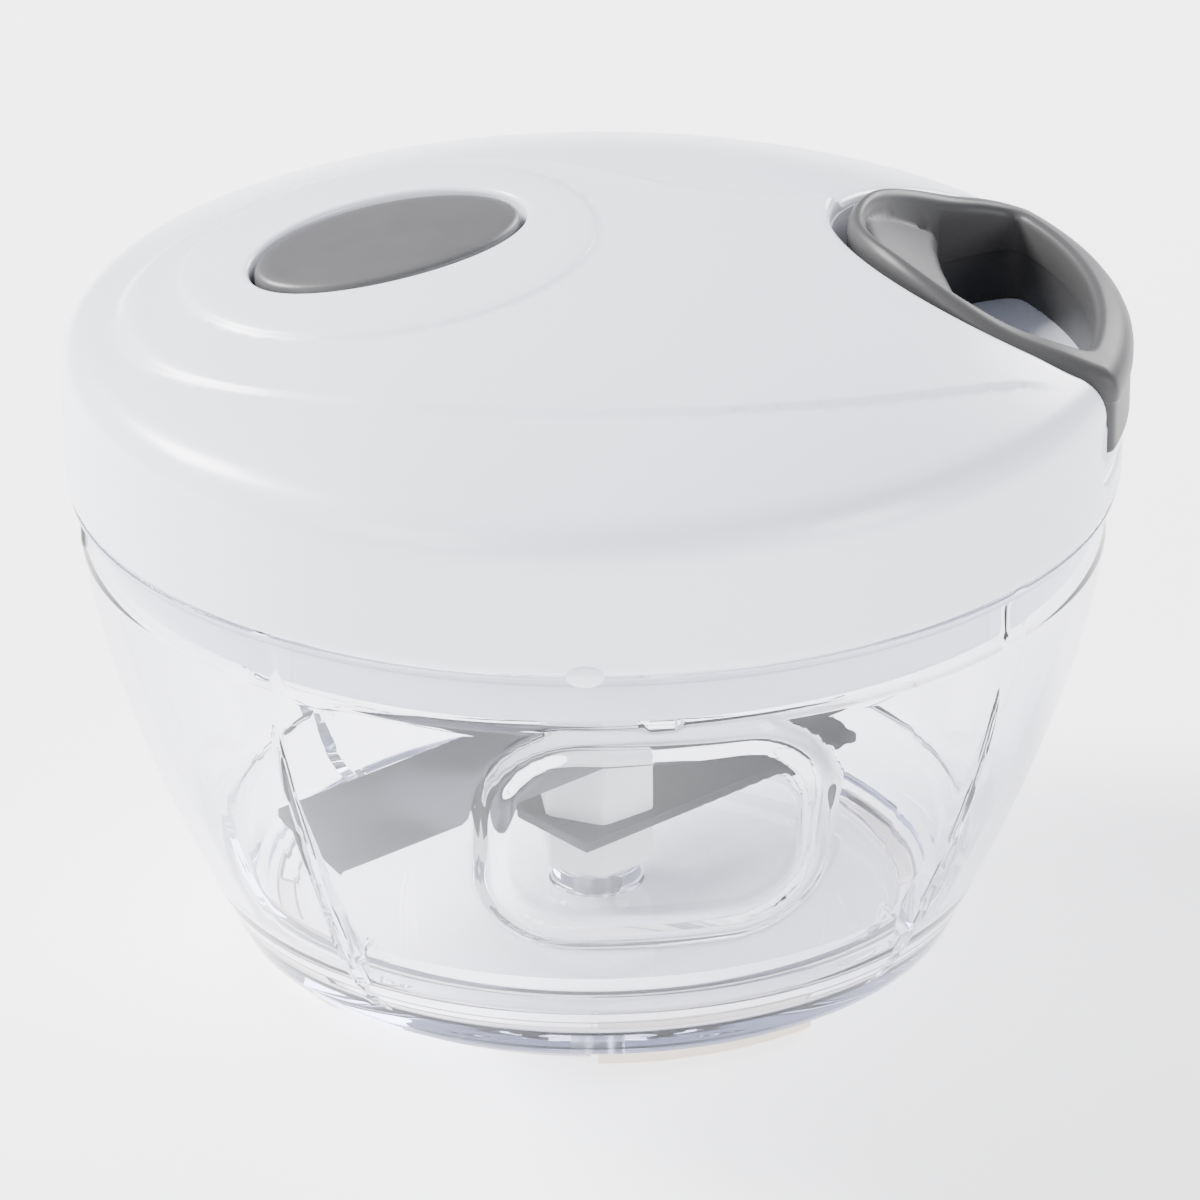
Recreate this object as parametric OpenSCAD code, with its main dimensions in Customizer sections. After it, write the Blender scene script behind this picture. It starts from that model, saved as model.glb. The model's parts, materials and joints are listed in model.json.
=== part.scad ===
// Hand-pulled food chopper: clear bowl with blades, domed lid with a cord reel, finger-ring
// handle and press button. +Z is up, +X is the way the handle is pulled, and the origin is at
// the bottom centre of the base pad. All sizes are in millimetres.

/* [Bowl] */
// Outer radius of the foot ring at the bottom
foot_r = 40; // [39:0.5:41]
// Outer radius of the bowl just under its collar
bowl_r = 60.6; // [60:0.1:61]
// Wall thickness of the bowl
wall = 2.3; // [2:0.1:2.5]
// Height of the flange that the lid sits over
flange_z = 59.4; // [59:0.1:60]
// Number of raised lugs round the collar
lug_count = 8; // [4:1:12]

/* [Lid] */
// Outer radius of the lid skirt
lid_r = 62.5; // [62.3:0.1:63]
// Height of the top of the dome
dome_top = 88; // [87.5:0.1:89]
// Wall thickness of the lid
lid_wall = 2.2; // [2:0.1:2.4]

/* [Pull handle] */
// Half of the width of the pocket that holds the handle
pocket_half = 27.3; // [27:0.1:27.5]
// Distance from the axis to the inner tip of the pocket
pocket_tip = 29.5; // [29:0.1:30]
// Outer radius of the handle's front face
handle_r = 63.3; // [63:0.1:63.6]
// Height of the underside of the handle
handle_z = 68; // [67.8:0.1:68.2]

/* [Blades] */
// Reach of the upper blade from the axis
upper_reach = 45.5; // [40:0.5:46]
// Reach of the lower blade from the axis
lower_reach = 39; // [34:0.5:40]
// Width of each blade
blade_w = 17; // [14:0.5:18]
// Direction of the upper blade, in degrees from +X
upper_angle = 214; // [200:1:230]

/* [Cord reel] */
// Radius of the drum that the cord winds on
drum_r = 15.5; // [15:0.1:16]
// Diameter of the pull cord
cord_d = 2.2; // [2:0.1:2.4]
// Radius of the reel's flanges
reel_r = 25; // [22:0.5:26]

/* [Press button] */
// Half length of the oval button
button_a = 16.4; // [15:0.1:17]
// Half width of the oval button
button_b = 11.2; // [10:0.1:12]

/* [Hidden] */
$fn = 96;
eps = 0.01;

// Bowl heights and radii
pad_h = 2.6;            // the pad is as thick as the space under the floor
foot_z = 0.6;           // the foot ring stays clear of the table, so the pad carries the bowl
floor_z = 5;
floor_r = 34;
turn_z = 3;             // where the foot ends and the side begins
turn_r = foot_r + 3.6;
side_top_z = 51.9;
collar_r = 60.3;
flange_r = 61.9;
flange_h = 1;
neck_r = 58.9;
neck_in_r = 57.2;
neck_top_z = 65;
side_steps = 10;
rib_t = 1.8;            // inner ribs that stop food from turning with the blades
rib_deep = 2.6;
lug_w = 3.8;
lug_h = 6;
bead_w = 37;            // raised rounded frame on the bowl's two faces
bead_h = 27;
bead_stroke = 2.6;
bead_round = 9;
bead_mid_z = 37;
bead_proud = 1;
notch_angle = 40;
notch_first = -98;
lock_count = 4;         // lugs round the neck and hooks in the lid that lock the two together
lock_turn = 22;         // how far the lid turns to lock
lock_lug_angle = 16;
lock_hook_angle = 14;
lock_first = 22.5;
mark_angle = -97;       // small round mark under the skirt's edge
mark_r = 1.4;

// Blade shaft and its pin
pin_r = 2;
pin_top = 36;
shaft_gap = 0.06;       // running clearance of a shaft in its hole, on the radius
shaft_z = 8;
shaft_flats = 13;
drive_z = 55.6;
tang_r = 5.5;           // flat tang on top of the shaft, which the drive socket turns
tang_t = 4.4;
tang_gap = 0.25;
shaft_top = 64;
blade_t = 1.2;
lower_blade_z = 14.5;
upper_blade_z = 24;

// Lid shell
skirt_z = 59.8;
dome_drop = 9.5;
dome_ref_r = 58;
dome_pow = 2.6;
corner_r = 5.5;
skirt_in_r = 60.4;
tray_top = 67.7;
tray_z = 66.7;
slot_z = 63.9;
tip_pow = 1.9;
side_pow = 0.6;
pocket_len = 57 - pocket_tip;
inner_z = 60;           // underside of the inner cover's plate
inner_top = 62;
collar_out_r = 56.4;
collar_in_r = 54.4;
seal_z = 61;
seal_h = 2.5;
seal_in_r = 55.3;
boss_r = 11;
boss_top = 65;
screw_r = 47;
screw_angles = [60, 120, 240, 300];

// Reel stack, from the bottom up
socket_z = 55.8;
socket_r = 8;
socket_flange_z = 66;
reel_z = 68.6;
reel_top = 79;
reel_flange_t = 1.3;
axle_r = 2.5;
axle_head_r = 3.5;
spring_z = 71.8;
spring_h = 5.6;
spring_turns = 6;
spring_t = 0.35;
cord_z = 74;
cord_turns = 3;
wind_r = drum_r + cord_d / 2;
leave_angle = acos(wind_r / (pocket_tip - 1));

// Button, in a frame that leans with the dome
button_x = -23.7;
button_y = 1.5;
button_lean = 6;
button_turn = 21;
button_top = 1.0;
plateau_r = 24.5;
plateau_top = 0.9;
crown_r = 200;
guide_gap = 0.7;

// Height of the dome at distance r from the axis
function dome_z(r) = dome_top - dome_drop * pow(r / dome_ref_r, dome_pow);
corner_x = lid_r - corner_r;
corner_tangent = 68;
corner_z = dome_z(corner_x + corner_r * cos(corner_tangent)) - corner_r * sin(corner_tangent);

// Outline of the lid's outside, lowered by d and pulled in by g
function lid_outline(d, g) = concat(
    [[0, skirt_z - 1], [lid_r - g, skirt_z - 1], [lid_r - g, corner_z - d]],
    [for (a = [15 : 15 : 60]) [corner_x - g + corner_r * cos(a), corner_z - d + corner_r * sin(a)]],
    [for (k = [12 : -1 : 0]) let (r = (corner_x + corner_r * cos(corner_tangent)) * k / 12)
        [max(r - g * k / 12, 0), dome_z(r) - d]]);

// One point of a curve with end points a and c that leaves both towards b
function curve_point(a, b, c, t) = a * (1 - t) * (1 - t) + b * 2 * t * (1 - t) + c * t * t;
// Side of the bowl, moved inwards by d, as points of [radius, height]
function side(d) = [for (k = [0 : side_steps]) curve_point([turn_r - d, turn_z],
    [58.2 - d, 32.3], [bowl_r - d, side_top_z], k / side_steps)];

// Pocket outline seen from above, made smaller by g at the sides and by t at the tip
function pocket_x(a, t) = 57 - (pocket_len - t) * sin(a);
function pocket_y(a, g) = (pocket_half - g) * pow(max(1 - pow(sin(a), tip_pow), 0), side_pow);
function pocket_points(g, t) = concat([[66, -(pocket_half - g)]],
    [for (a = [0 : 6 : 90]) [pocket_x(a, t), -pocket_y(a, g)]],
    [for (a = [84 : -6 : 0]) [pocket_x(a, t), pocket_y(a, g)]],
    [[66, pocket_half - g]]);

function ellipse_points(a, b) = [for (k = [0 : 47]) [a * cos(k * 7.5), b * sin(k * 7.5)]];

// A wire of radius w swept round a helix of radius r, starting at height z
module helix(r, w, z, h, turns, steps = 16, sides = 6) {
    n = turns * steps;
    points = [for (i = [0 : n]) for (j = [0 : sides - 1])
        let (a = 360 * i / steps, b = -360 * j / sides, q = r + w * cos(b))
        [q * cos(a), q * sin(a), z + h * i / n + w * sin(b)]];
    sides_faces = [for (i = [0 : n - 1]) for (j = [0 : sides - 1])
        let (j2 = (j + 1) % sides)
        [i * sides + j, (i + 1) * sides + j, (i + 1) * sides + j2, i * sides + j2]];
    first = [for (j = [0 : sides - 1]) j];
    last = [for (j = [sides - 1 : -1 : 0]) n * sides + j];
    polyhedron(points, concat(sides_faces, [first], [last]));
}

module ring(r_out, r_in, z0, z1) {
    translate([0, 0, z0])
        difference() {
            cylinder(r = r_out, h = z1 - z0);
            translate([0, 0, -1]) cylinder(r = r_in, h = z1 - z0 + 2);
        }
}

// A wedge of a disc, used to cut rings into sectors
module sector(angle, mid, r, z0, z1) {
    rotate([0, 0, mid - angle / 2])
        translate([0, 0, z0])
            rotate_extrude(angle = angle)
                translate([eps, 0]) square([r, z1 - z0]);
}

module bar_hex(flats, z0, z1) {
    translate([0, 0, z0]) rotate([0, 0, 30])
        cylinder(r = flats / 2 / cos(30), h = z1 - z0, $fn = 6);
}

module at_button() {
    translate([button_x, button_y, dome_z(-button_x)])
        rotate([0, -button_lean, 0]) rotate([0, 0, button_turn]) children();
}

module oval(grow, z0, z1) {
    translate([0, 0, z0]) linear_extrude(z1 - z0)
        polygon(ellipse_points(button_a + grow, button_b + grow));
}

module pocket(g, t, z0, z1) {
    translate([0, 0, z0]) linear_extrude(z1 - z0) polygon(pocket_points(g, t));
}

module lid_solid(d, g) {
    rotate_extrude() polygon(lid_outline(d, g));
}

// ---- bowl ----

module bowl_skin(d) {
    rotate_extrude() polygon(concat([[0, floor_z], [floor_r, floor_z]], side(d),
        [[collar_r - d, 54.5], [flange_r - 1, flange_z - 2], [0, flange_z - 2]]));
}

module bead_frame() {
    module frame_2d(w, h, r) {
        translate([-w / 2 + r, -h / 2]) square([w - 2 * r, h]);
        translate([-w / 2, -h / 2 + r]) square([w, h - 2 * r]);
        for (x = [-1, 1]) for (y = [-1, 1])
            translate([x * (w / 2 - r), y * (h / 2 - r)]) circle(r = r);
    }
    for (face = [-1, 1]) intersection() {
        difference() {
            bowl_skin(-bead_proud);
            bowl_skin(wall / 2);
        }
        rotate([90, 0, 0]) translate([0, bead_mid_z, face > 0 ? 30 : -70]) linear_extrude(40)
            difference() {
                frame_2d(bead_w, bead_h, bead_round);
                frame_2d(bead_w - 2 * bead_stroke, bead_h - 2 * bead_stroke,
                    bead_round - bead_stroke);
            }
    }
}

module bowl() {
    color([0.85, 0.88, 0.95, 0.4]) difference() {
        union() {
            rotate_extrude() polygon(concat(
                [[0, pad_h + eps], [foot_r - 2.5, pad_h + eps], [foot_r - 2.5, foot_z],
                 [foot_r, foot_z], [foot_r, turn_z - 1]],
                side(0),
                [[collar_r, 55], [collar_r + 0.3, flange_z - flange_h - 0.6],
                 [flange_r, flange_z - flange_h], [flange_r, flange_z], [neck_r, flange_z],
                 [neck_r, neck_top_z], [neck_in_r, neck_top_z], [neck_in_r, flange_z]],
                [for (k = [side_steps : -1 : 3]) side(wall)[k]],
                [for (a = [15 : 25 : 90]) [floor_r + 9.5 * cos(a), floor_z + 9.5 - 9.5 * sin(a)]],
                [[0, floor_z]]));
            translate([0, 0, floor_z - eps]) cylinder(r = 5.5, h = 2);
            bead_frame();
            for (k = [0 : lug_count - 1]) rotate([0, 0, 360 * k / lug_count]) {
                translate([collar_r - 1, -lug_w / 2, side_top_z + 0.6])
                    cube([2.1, lug_w, lug_h - lug_w / 2]);
                translate([collar_r - 1, 0, side_top_z + 0.6 + lug_h - lug_w / 2])
                    rotate([0, 90, 0]) cylinder(d = lug_w, h = 2.1);
            }
            for (k = [0 : lock_count - 1]) intersection() {
                ring(collar_r - 0.2, neck_r - 0.5, 62.7, 64.5);
                sector(lock_lug_angle, lock_first + 360 * k / lock_count, 70, 62, 65);
            }
            for (a = [45 : 90 : 315]) rotate([0, 0, a]) rotate([90, 0, 0])
                translate([0, 0, -rib_t / 2]) linear_extrude(rib_t)
                    polygon(concat([[floor_r, floor_z - 0.5], [floor_r - 2, floor_z]],
                        [for (k = [1 : 8]) side(wall + rib_deep * (1 - k / 8))[k]],
                        [for (k = [8 : -1 : 1]) side(wall / 2)[k]]));
        }
        for (k = [0 : 3]) sector(notch_angle, notch_first + 20 + 90 * k, foot_r + 2, 0, 2);
        translate([0, 0, 2]) cylinder(r = pin_r, h = 10);
    }
}

module bowl_pin() {
    color("silver") translate([0, 0, pad_h + 0.2]) cylinder(r = pin_r, h = pin_top - pad_h - 0.2);
}

module base_pad() {
    color([0.93, 0.9, 0.84]) {
        cylinder(r = foot_r - 2.6, h = pad_h);
        for (k = [0 : 3]) intersection() {
            ring(foot_r - 0.4, foot_r - 3, 0, 1.9);
            sector(notch_angle - 2, notch_first + 20 + 90 * k, foot_r + 2, 0, 2);
        }
    }
}

// ---- blades ----

module tang_2d(gap) {
    intersection() {
        circle(r = tang_r + gap);
        square([3 * tang_r, tang_t + 2 * gap], center = true);
    }
}

// Blade outline: straight back edge, cutting edge that curves in to an oblique tip
module blade_plate(reach, z, angle) {
    rotate([0, 0, angle]) translate([0, 0, z - blade_t / 2]) difference() {
        linear_extrude(blade_t) polygon(concat(
            [[-9, -blade_w / 2], [reach - 5, -blade_w / 2], [reach, -blade_w / 2 + 4]],
            [for (k = [0 : 6]) [reach - 1 - k * 1.8, -blade_w / 2 + 5 + blade_w * 0.7 * sin(k * 15)]],
            [[-9, blade_w / 2]]));
        translate([0, 0, -1]) cylinder(r = pin_r + 2.2, h = blade_t + 2);
        translate([reach * 0.55, blade_w / 2 + 0.9, blade_t]) rotate([-30, 0, 0])
            cube([reach * 1.2, 5, 1.4], center = true);
    }
}

module lower_blade() {
    color("silver") blade_plate(lower_reach, lower_blade_z, upper_angle - 180);
}

module upper_blade() {
    color("silver") blade_plate(upper_reach, upper_blade_z, upper_angle);
}

module blade_shaft() {
    color("white") difference() {
        union() {
            bar_hex(shaft_flats, shaft_z, drive_z);
            translate([0, 0, drive_z - eps]) linear_extrude(shaft_top - drive_z) tang_2d(0);
        }
        translate([0, 0, shaft_z - 1]) cylinder(r = pin_r + shaft_gap, h = pin_top - shaft_z + 2);
        lower_blade();
        upper_blade();
    }
}

// ---- lid ----

module lid_seal() {
    color("gainsboro") rotate_extrude() polygon([[seal_in_r + 0.1, seal_z + 0.1],
        [collar_out_r - 0.1, seal_z + 0.1], [neck_in_r - 0.2, seal_z + 0.9],
        [neck_in_r - 0.2, seal_z + 1.6], [collar_out_r - 0.1, seal_z + seal_h - 0.1],
        [seal_in_r + 0.1, seal_z + seal_h - 0.1]]);
}

module lid_cover() {
    color("white") difference() {
        union() {
            difference() {
                lid_solid(0, 0);
                lid_solid(lid_wall, lid_r - skirt_in_r);
            }
            difference() {
                intersection() {
                    union() {
                        pocket(-1.8, -1.6, tray_top, dome_top);
                        cylinder(r = 6.5, h = dome_top);
                        at_button() oval(guide_gap + 2.6, -6.2, 5);
                        for (a = screw_angles) rotate([0, 0, a]) translate([screw_r, 0, 0])
                            cylinder(r = 3.4, h = dome_top);
                    }
                    lid_solid(eps, 1);
                }
                translate([0, 0, 40]) cylinder(r = 12, h = reel_top + 1 - 40);
                translate([0, 0, 40]) cylinder(r = 80, h = inner_top - 40);
            }
            intersection() {
                at_button() translate([0, 0, -5]) cylinder(r = plateau_r, h = 9);
                at_button() translate([0, 0, plateau_top - crown_r]) sphere(r = crown_r, $fn = 200);
                difference() {
                    cylinder(r = lid_r, h = 100);
                    lid_solid(lid_wall / 2, 1);
                }
            }
            for (k = [0 : lock_count - 1]) intersection() {
                ring(skirt_in_r + 0.5, neck_r + 0.4, 60.2, 62.2);
                sector(lock_hook_angle, lock_first + lock_turn + 360 * k / lock_count, 70, 60, 63);
            }
        }
        difference() {
            translate([0, 0, skirt_z - 2]) cylinder(r = lid_r + 1, h = 2);
            rotate([0, 0, mark_angle]) translate([flange_r + 0.2, 0, skirt_z])
                rotate([0, 90, 0]) cylinder(r = mark_r, h = 5);
        }
        pocket(0, 0, tray_top, dome_top + 10);
        intersection() {
            ring(lid_r + 5, skirt_in_r - 0.3, slot_z, tray_top + 1);
            translate([40, -pocket_half, 0]) cube([40, 2 * pocket_half, 100]);
        }
        at_button() oval(guide_gap, -2.4, 8);
        at_button() oval(guide_gap + 1.1, -12, -2.2);
        translate([0, 0, reel_z]) cylinder(r = axle_head_r, h = dome_top - 3.6 - reel_z);
        for (a = screw_angles) rotate([0, 0, a]) translate([screw_r, 0, 40])
            cylinder(r = 1.3, h = 34);
        translate([10, 0, cord_z]) rotate([0, 90, 0]) cylinder(r = 2.6, h = pocket_tip - 8);
        // room for the reel and the inner cover's rim below the pocket's walls
        translate([0, 0, 50]) cylinder(r = reel_r + 0.8, h = reel_top + 0.8 - 50);
    }
}

module inner_cover() {
    color("white") difference() {
        union() {
            ring(collar_out_r, collar_in_r, 52, 66.5);
            ring(skirt_in_r - 0.3, collar_out_r - 0.5, 65.4, 66.5);
            translate([0, 0, inner_z]) cylinder(r = collar_in_r + 0.5, h = inner_top - inner_z);
            translate([0, 0, 57]) cylinder(r = boss_r, h = boss_top - 57);
            for (a = screw_angles) rotate([0, 0, a]) translate([screw_r, 0, inner_z - 1.4])
                cylinder(r = 4.4, h = 2);
        }
        ring(collar_out_r + 1, seal_in_r, seal_z, seal_z + seal_h);
        translate([0, 0, 50]) cylinder(r = socket_r + shaft_gap, h = 20);
        for (a = screw_angles) rotate([0, 0, a]) translate([screw_r, 0, 0]) {
            translate([0, 0, 50]) cylinder(r = 1.6, h = 20);
            translate([0, 0, 50]) cylinder(r = 3, h = inner_z + 0.6 - 50);
        }
    }
}

module handle_tray() {
    color("white") {
        intersection() {
            pocket(-1.6, -1.4, tray_z, tray_top - eps);
            cylinder(r = skirt_in_r - 0.1, h = 100);
        }
        intersection() {
            ring(lid_r - 0.3, skirt_in_r - 0.2, slot_z + 0.05, tray_top - eps);
            translate([40, -pocket_half + 0.1, 0]) cube([40, 2 * pocket_half - 0.2, 100]);
        }
    }
}

module cord_eyelet() {
    color("gray") translate([pocket_tip - 3.6, 0, cord_z]) rotate([0, 90, 0]) difference() {
        union() {
            cylinder(r = 2.6, h = 3.4);
            cylinder(r = 3.6, h = 1.8);
        }
        translate([0, 0, -1]) cylinder(r = cord_d / 2 + 0.15, h = 6);
    }
}

module reel_axle() {
    color("silver") {
        translate([0, 0, 66.6]) cylinder(r = axle_r, h = spring_z - 0.3 - 66.6);
        translate([0, 0, spring_z - 0.3])
            cylinder(r = axle_head_r, h = dome_top - 3.6 - spring_z + 0.3);
    }
}

module thrust_washer() {
    color("lightgray") ring(boss_r - 0.2, socket_r + 0.4, boss_top, boss_top + 0.7);
}

// Flat spiral ribbon: its inner end is held by the axle and its outer end by the reel
module power_spring() {
    function spiral(q, a) = (axle_head_r + q + (drum_r - 3 - axle_head_r) * a / (360 * spring_turns))
        * [cos(a), sin(a)];
    color("dimgray") translate([0, 0, spring_z]) linear_extrude(spring_h) polygon(concat(
        [for (a = [0 : 15 : 360 * spring_turns]) spiral(spring_t + 0.1, a)],
        [for (a = [360 * spring_turns : -15 : 0]) spiral(0.1, a)]));
}

module lid_screws() {
    color("silver") for (a = screw_angles) rotate([0, 0, a]) translate([screw_r, 0, 0]) {
        difference() {
            translate([0, 0, inner_z - 1.4]) cylinder(r = 2.8, h = 2);
            translate([-2, -0.4, inner_z - 2]) cube([4, 0.8, 1.4]);
            translate([-0.4, -2, inner_z - 2]) cube([0.8, 4, 1.4]);
        }
        translate([0, 0, inner_z]) cylinder(r = 1.3, h = 13);
    }
}

module button_seat() {
    color("white") at_button() difference() {
        oval(guide_gap + 1, -6.2, -5.2);
        translate([0, 0, -7]) cylinder(r = 2.2, h = 3);
    }
}

module button_spring() {
    color("silver") at_button() helix(4, 0.4, -4.8, 3.2, 3.5);
}

module press_button() {
    color([0.5, 0.5, 0.5]) at_button() difference() {
        union() {
            intersection() {
                oval(0, -3.4, 3);
                translate([0, 0, button_top - crown_r]) sphere(r = crown_r, $fn = 200);
            }
            oval(0.8, -3.4, -2.7);
        }
        oval(-1.6, -4, -0.8);
    }
}

// ---- reel ----

module cord_reel() {
    color("lightgray") difference() {
        union() {
            translate([0, 0, reel_z]) cylinder(r = reel_r, h = reel_flange_t);
            translate([0, 0, reel_z]) cylinder(r = drum_r, h = reel_top - reel_z);
            ring(reel_r, drum_r - 1, reel_top - reel_flange_t, reel_top);
        }
        translate([0, 0, spring_z - 0.6]) cylinder(r = drum_r - 1.8, h = 20);
        translate([0, 0, reel_z - 1]) cylinder(r = 4, h = 10);
    }
}

module reel_bush() {
    color("goldenrod") ring(4, axle_r + shaft_gap, reel_z, spring_z - 0.6);
}

module spring_cover() {
    color("gainsboro") ring(drum_r - 1.8, 5, spring_z + spring_h + 0.3, reel_top);
}

// The socket's slot is wide enough for the tang to stand still while the lid turns to lock
module drive_socket() {
    slot_r = norm([tang_r, tang_t / 2]) + tang_gap;
    slot_half = atan2(tang_t / 2 + tang_gap, tang_r);
    slot_turns = [-slot_half, lock_turn - slot_half, slot_half, lock_turn + slot_half];
    slot_corners = [for (end = [0, 180]) for (turn = slot_turns)
        slot_r * [cos(end + turn), sin(end + turn)]];
    color("gray") difference() {
        union() {
            translate([0, 0, socket_z]) cylinder(r = socket_r, h = reel_z - socket_z);
            translate([0, 0, socket_flange_z]) cylinder(r = 12, h = reel_z - socket_flange_z);
        }
        translate([0, 0, socket_z - 1]) linear_extrude(shaft_top + 1.6 - socket_z)
            polygon(slot_corners);
        translate([0, 0, 60]) cylinder(r = axle_r + 0.2, h = 20);
    }
}

module wound_cord() {
    color("whitesmoke") for (k = [0 : cord_turns - 1])
        translate([0, 0, cord_z + (k - (cord_turns - 1) / 2) * cord_d]) rotate_extrude()
            translate([wind_r + 0.06, 0]) circle(d = cord_d + 0.08, $fn = 24);
}

// ---- cord and handle ----

// The straight run inside the lid starts where it is clear of the turns on the drum
module cord_inner_run() {
    leave = [wind_r * cos(leave_angle), -wind_r * sin(leave_angle)];
    run = norm([pocket_tip - 1, 0] - leave);
    clear_run = 9;
    color("whitesmoke") translate([leave[0], leave[1], cord_z])
        rotate([0, 90, 90 - leave_angle]) translate([0, 0, clear_run])
            cylinder(d = cord_d, h = run - clear_run - 5.2, $fn = 24);
}

module cord_lead() {
    color("whitesmoke") translate([pocket_tip - 3.4, 0, cord_z]) rotate([0, 90, 0])
        cylinder(d = cord_d, h = 8.65, $fn = 24);
}

module cord_knot() {
    color("whitesmoke") translate([37, 0, cord_z]) sphere(r = 2.2, $fn = 32);
}

module pull_handle() {
    color([0.45, 0.45, 0.45]) difference() {
        intersection() {
            pocket(0.5, 2.4, handle_z, dome_top + 5);
            rotate_extrude() polygon([for (p = lid_outline(-0.3, lid_r - handle_r)) p]);
            cylinder(r = handle_r, h = 100);
        }
        // finger hole
        intersection() {
            pocket(5.2, 6.4, handle_z - 1, dome_top + 10);
            translate([41, -30, 0]) cube([40, 60, 100]);
            cylinder(r = handle_r - 4.6, h = 100);
        }
        // sunk slope between the tip and the finger hole
        intersection() {
            pocket(5.2, 6.4, 76, dome_top + 10);
            translate([pocket_tip, -30, 84]) rotate([0, 28, 0]) cube([30, 60, 20]);
        }
        // room for the knot, open underneath, and the hole that the cord comes through
        translate([34.6, -3.2, handle_z - 1]) cube([4.8, 6.4, 9.2]);
        translate([25, 0, cord_z]) rotate([0, 90, 0]) cylinder(r = cord_d / 2 + 0.1, h = 11);
    }
}

bowl();
bowl_pin();
base_pad();
blade_shaft();
lower_blade();
upper_blade();
lid_seal();
lid_cover();
inner_cover();
handle_tray();
cord_eyelet();
reel_axle();
thrust_washer();
power_spring();
lid_screws();
button_seat();
button_spring();
press_button();
cord_reel();
reel_bush();
spring_cover();
drive_socket();
wound_cord();
cord_inner_run();
cord_lead();
cord_knot();
pull_handle();
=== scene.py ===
"""Detailed pieces of a pull-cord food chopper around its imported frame.

Lengths in the shape functions are millimetres."""
import json
import math

import bmesh
import bpy
import numpy as np
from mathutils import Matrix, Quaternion, Vector, geometry, kdtree

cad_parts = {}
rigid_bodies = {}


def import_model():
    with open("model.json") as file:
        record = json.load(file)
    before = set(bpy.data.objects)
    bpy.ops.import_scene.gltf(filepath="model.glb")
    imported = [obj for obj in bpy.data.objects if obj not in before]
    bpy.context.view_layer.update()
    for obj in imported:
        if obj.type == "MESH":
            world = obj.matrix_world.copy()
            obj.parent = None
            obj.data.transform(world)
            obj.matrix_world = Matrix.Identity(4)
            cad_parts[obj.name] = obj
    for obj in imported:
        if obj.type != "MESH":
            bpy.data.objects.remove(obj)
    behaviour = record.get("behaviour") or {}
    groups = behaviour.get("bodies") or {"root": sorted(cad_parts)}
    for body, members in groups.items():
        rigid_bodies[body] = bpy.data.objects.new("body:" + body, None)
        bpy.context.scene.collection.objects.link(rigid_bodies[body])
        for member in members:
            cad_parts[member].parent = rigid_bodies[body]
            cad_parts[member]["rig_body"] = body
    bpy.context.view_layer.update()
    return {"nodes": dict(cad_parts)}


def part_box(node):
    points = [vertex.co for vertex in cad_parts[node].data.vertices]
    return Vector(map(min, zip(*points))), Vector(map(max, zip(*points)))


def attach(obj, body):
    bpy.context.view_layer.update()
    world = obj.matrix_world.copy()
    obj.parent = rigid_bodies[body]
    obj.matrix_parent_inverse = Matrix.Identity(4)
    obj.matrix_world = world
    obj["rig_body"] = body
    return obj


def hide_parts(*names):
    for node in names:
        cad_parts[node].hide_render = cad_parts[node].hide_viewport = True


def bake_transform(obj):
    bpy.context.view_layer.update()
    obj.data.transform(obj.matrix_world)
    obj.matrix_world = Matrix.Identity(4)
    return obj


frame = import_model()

bl_info = {
    "name": "Pull-cord food chopper",
    "version": (1, 0, 0),
    "blender": (4, 5, 0),
    "location": "3D View > Sidebar > Chopper",
    "description": "Builds a hand food chopper with a clear bowl, domed lid, finger ring and button",
    "category": "Object",
}

MM = 0.001


def node_box(name):
    """Lowest and highest corner of a CAD node."""
    low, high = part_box(name)
    return [c / MM for c in low], [c / MM for c in high]


LID_RADIUS = node_box("lid_cover")[1][1]
TRAY_LOW_Z, TRAY_TOP_Z = (corner[2] for corner in node_box("handle_tray"))

BOWL_FLOOR_Z = 5.0
BOWL_COLLAR_RADIUS = 60.3
LUG_SPACING = math.radians(45)
MARK_TURN = -98  # degrees to the lid's mark and to the first notch in the bowl's foot
UPPER_BLADE_TURN = math.radians(214)
LID_EDGE_Z = 59.8
DOME_REACH = 58.0  # where the dome drop is measured
DOME_POWER = 2.6
BUTTON_X = -23.7
BUTTON_Y = 1.5
BUTTON_HALF = (16.4, 11.2)
BUTTON_TURN = math.radians(21)
BUTTON_LEAN = math.radians(6)
BUTTON_CROWN = 420.0  # twice the radius of the button's crown
POCKET_MIDDLE = 57.0
POCKET_LENGTH = 28.6
POCKET_HALF = 27.3
CORD_Z = 74.0
CORD_RADIUS = 1.1
DRUM_RADIUS = 16.6  # to the middle of the cord


# ---- settings ----

def length(name, description, default, low=0.0, high=1.0):
    """A length property in metres."""
    return bpy.props.FloatProperty(name=name, description=description, default=default, min=low, max=high,
                                   subtype="DISTANCE", unit="LENGTH", precision=4)


def colour(name, description, default):
    """A linear colour property."""
    return bpy.props.FloatVectorProperty(name=name, description=description, default=default, size=3,
                                         min=0.0, max=1.0, subtype="COLOR")


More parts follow.
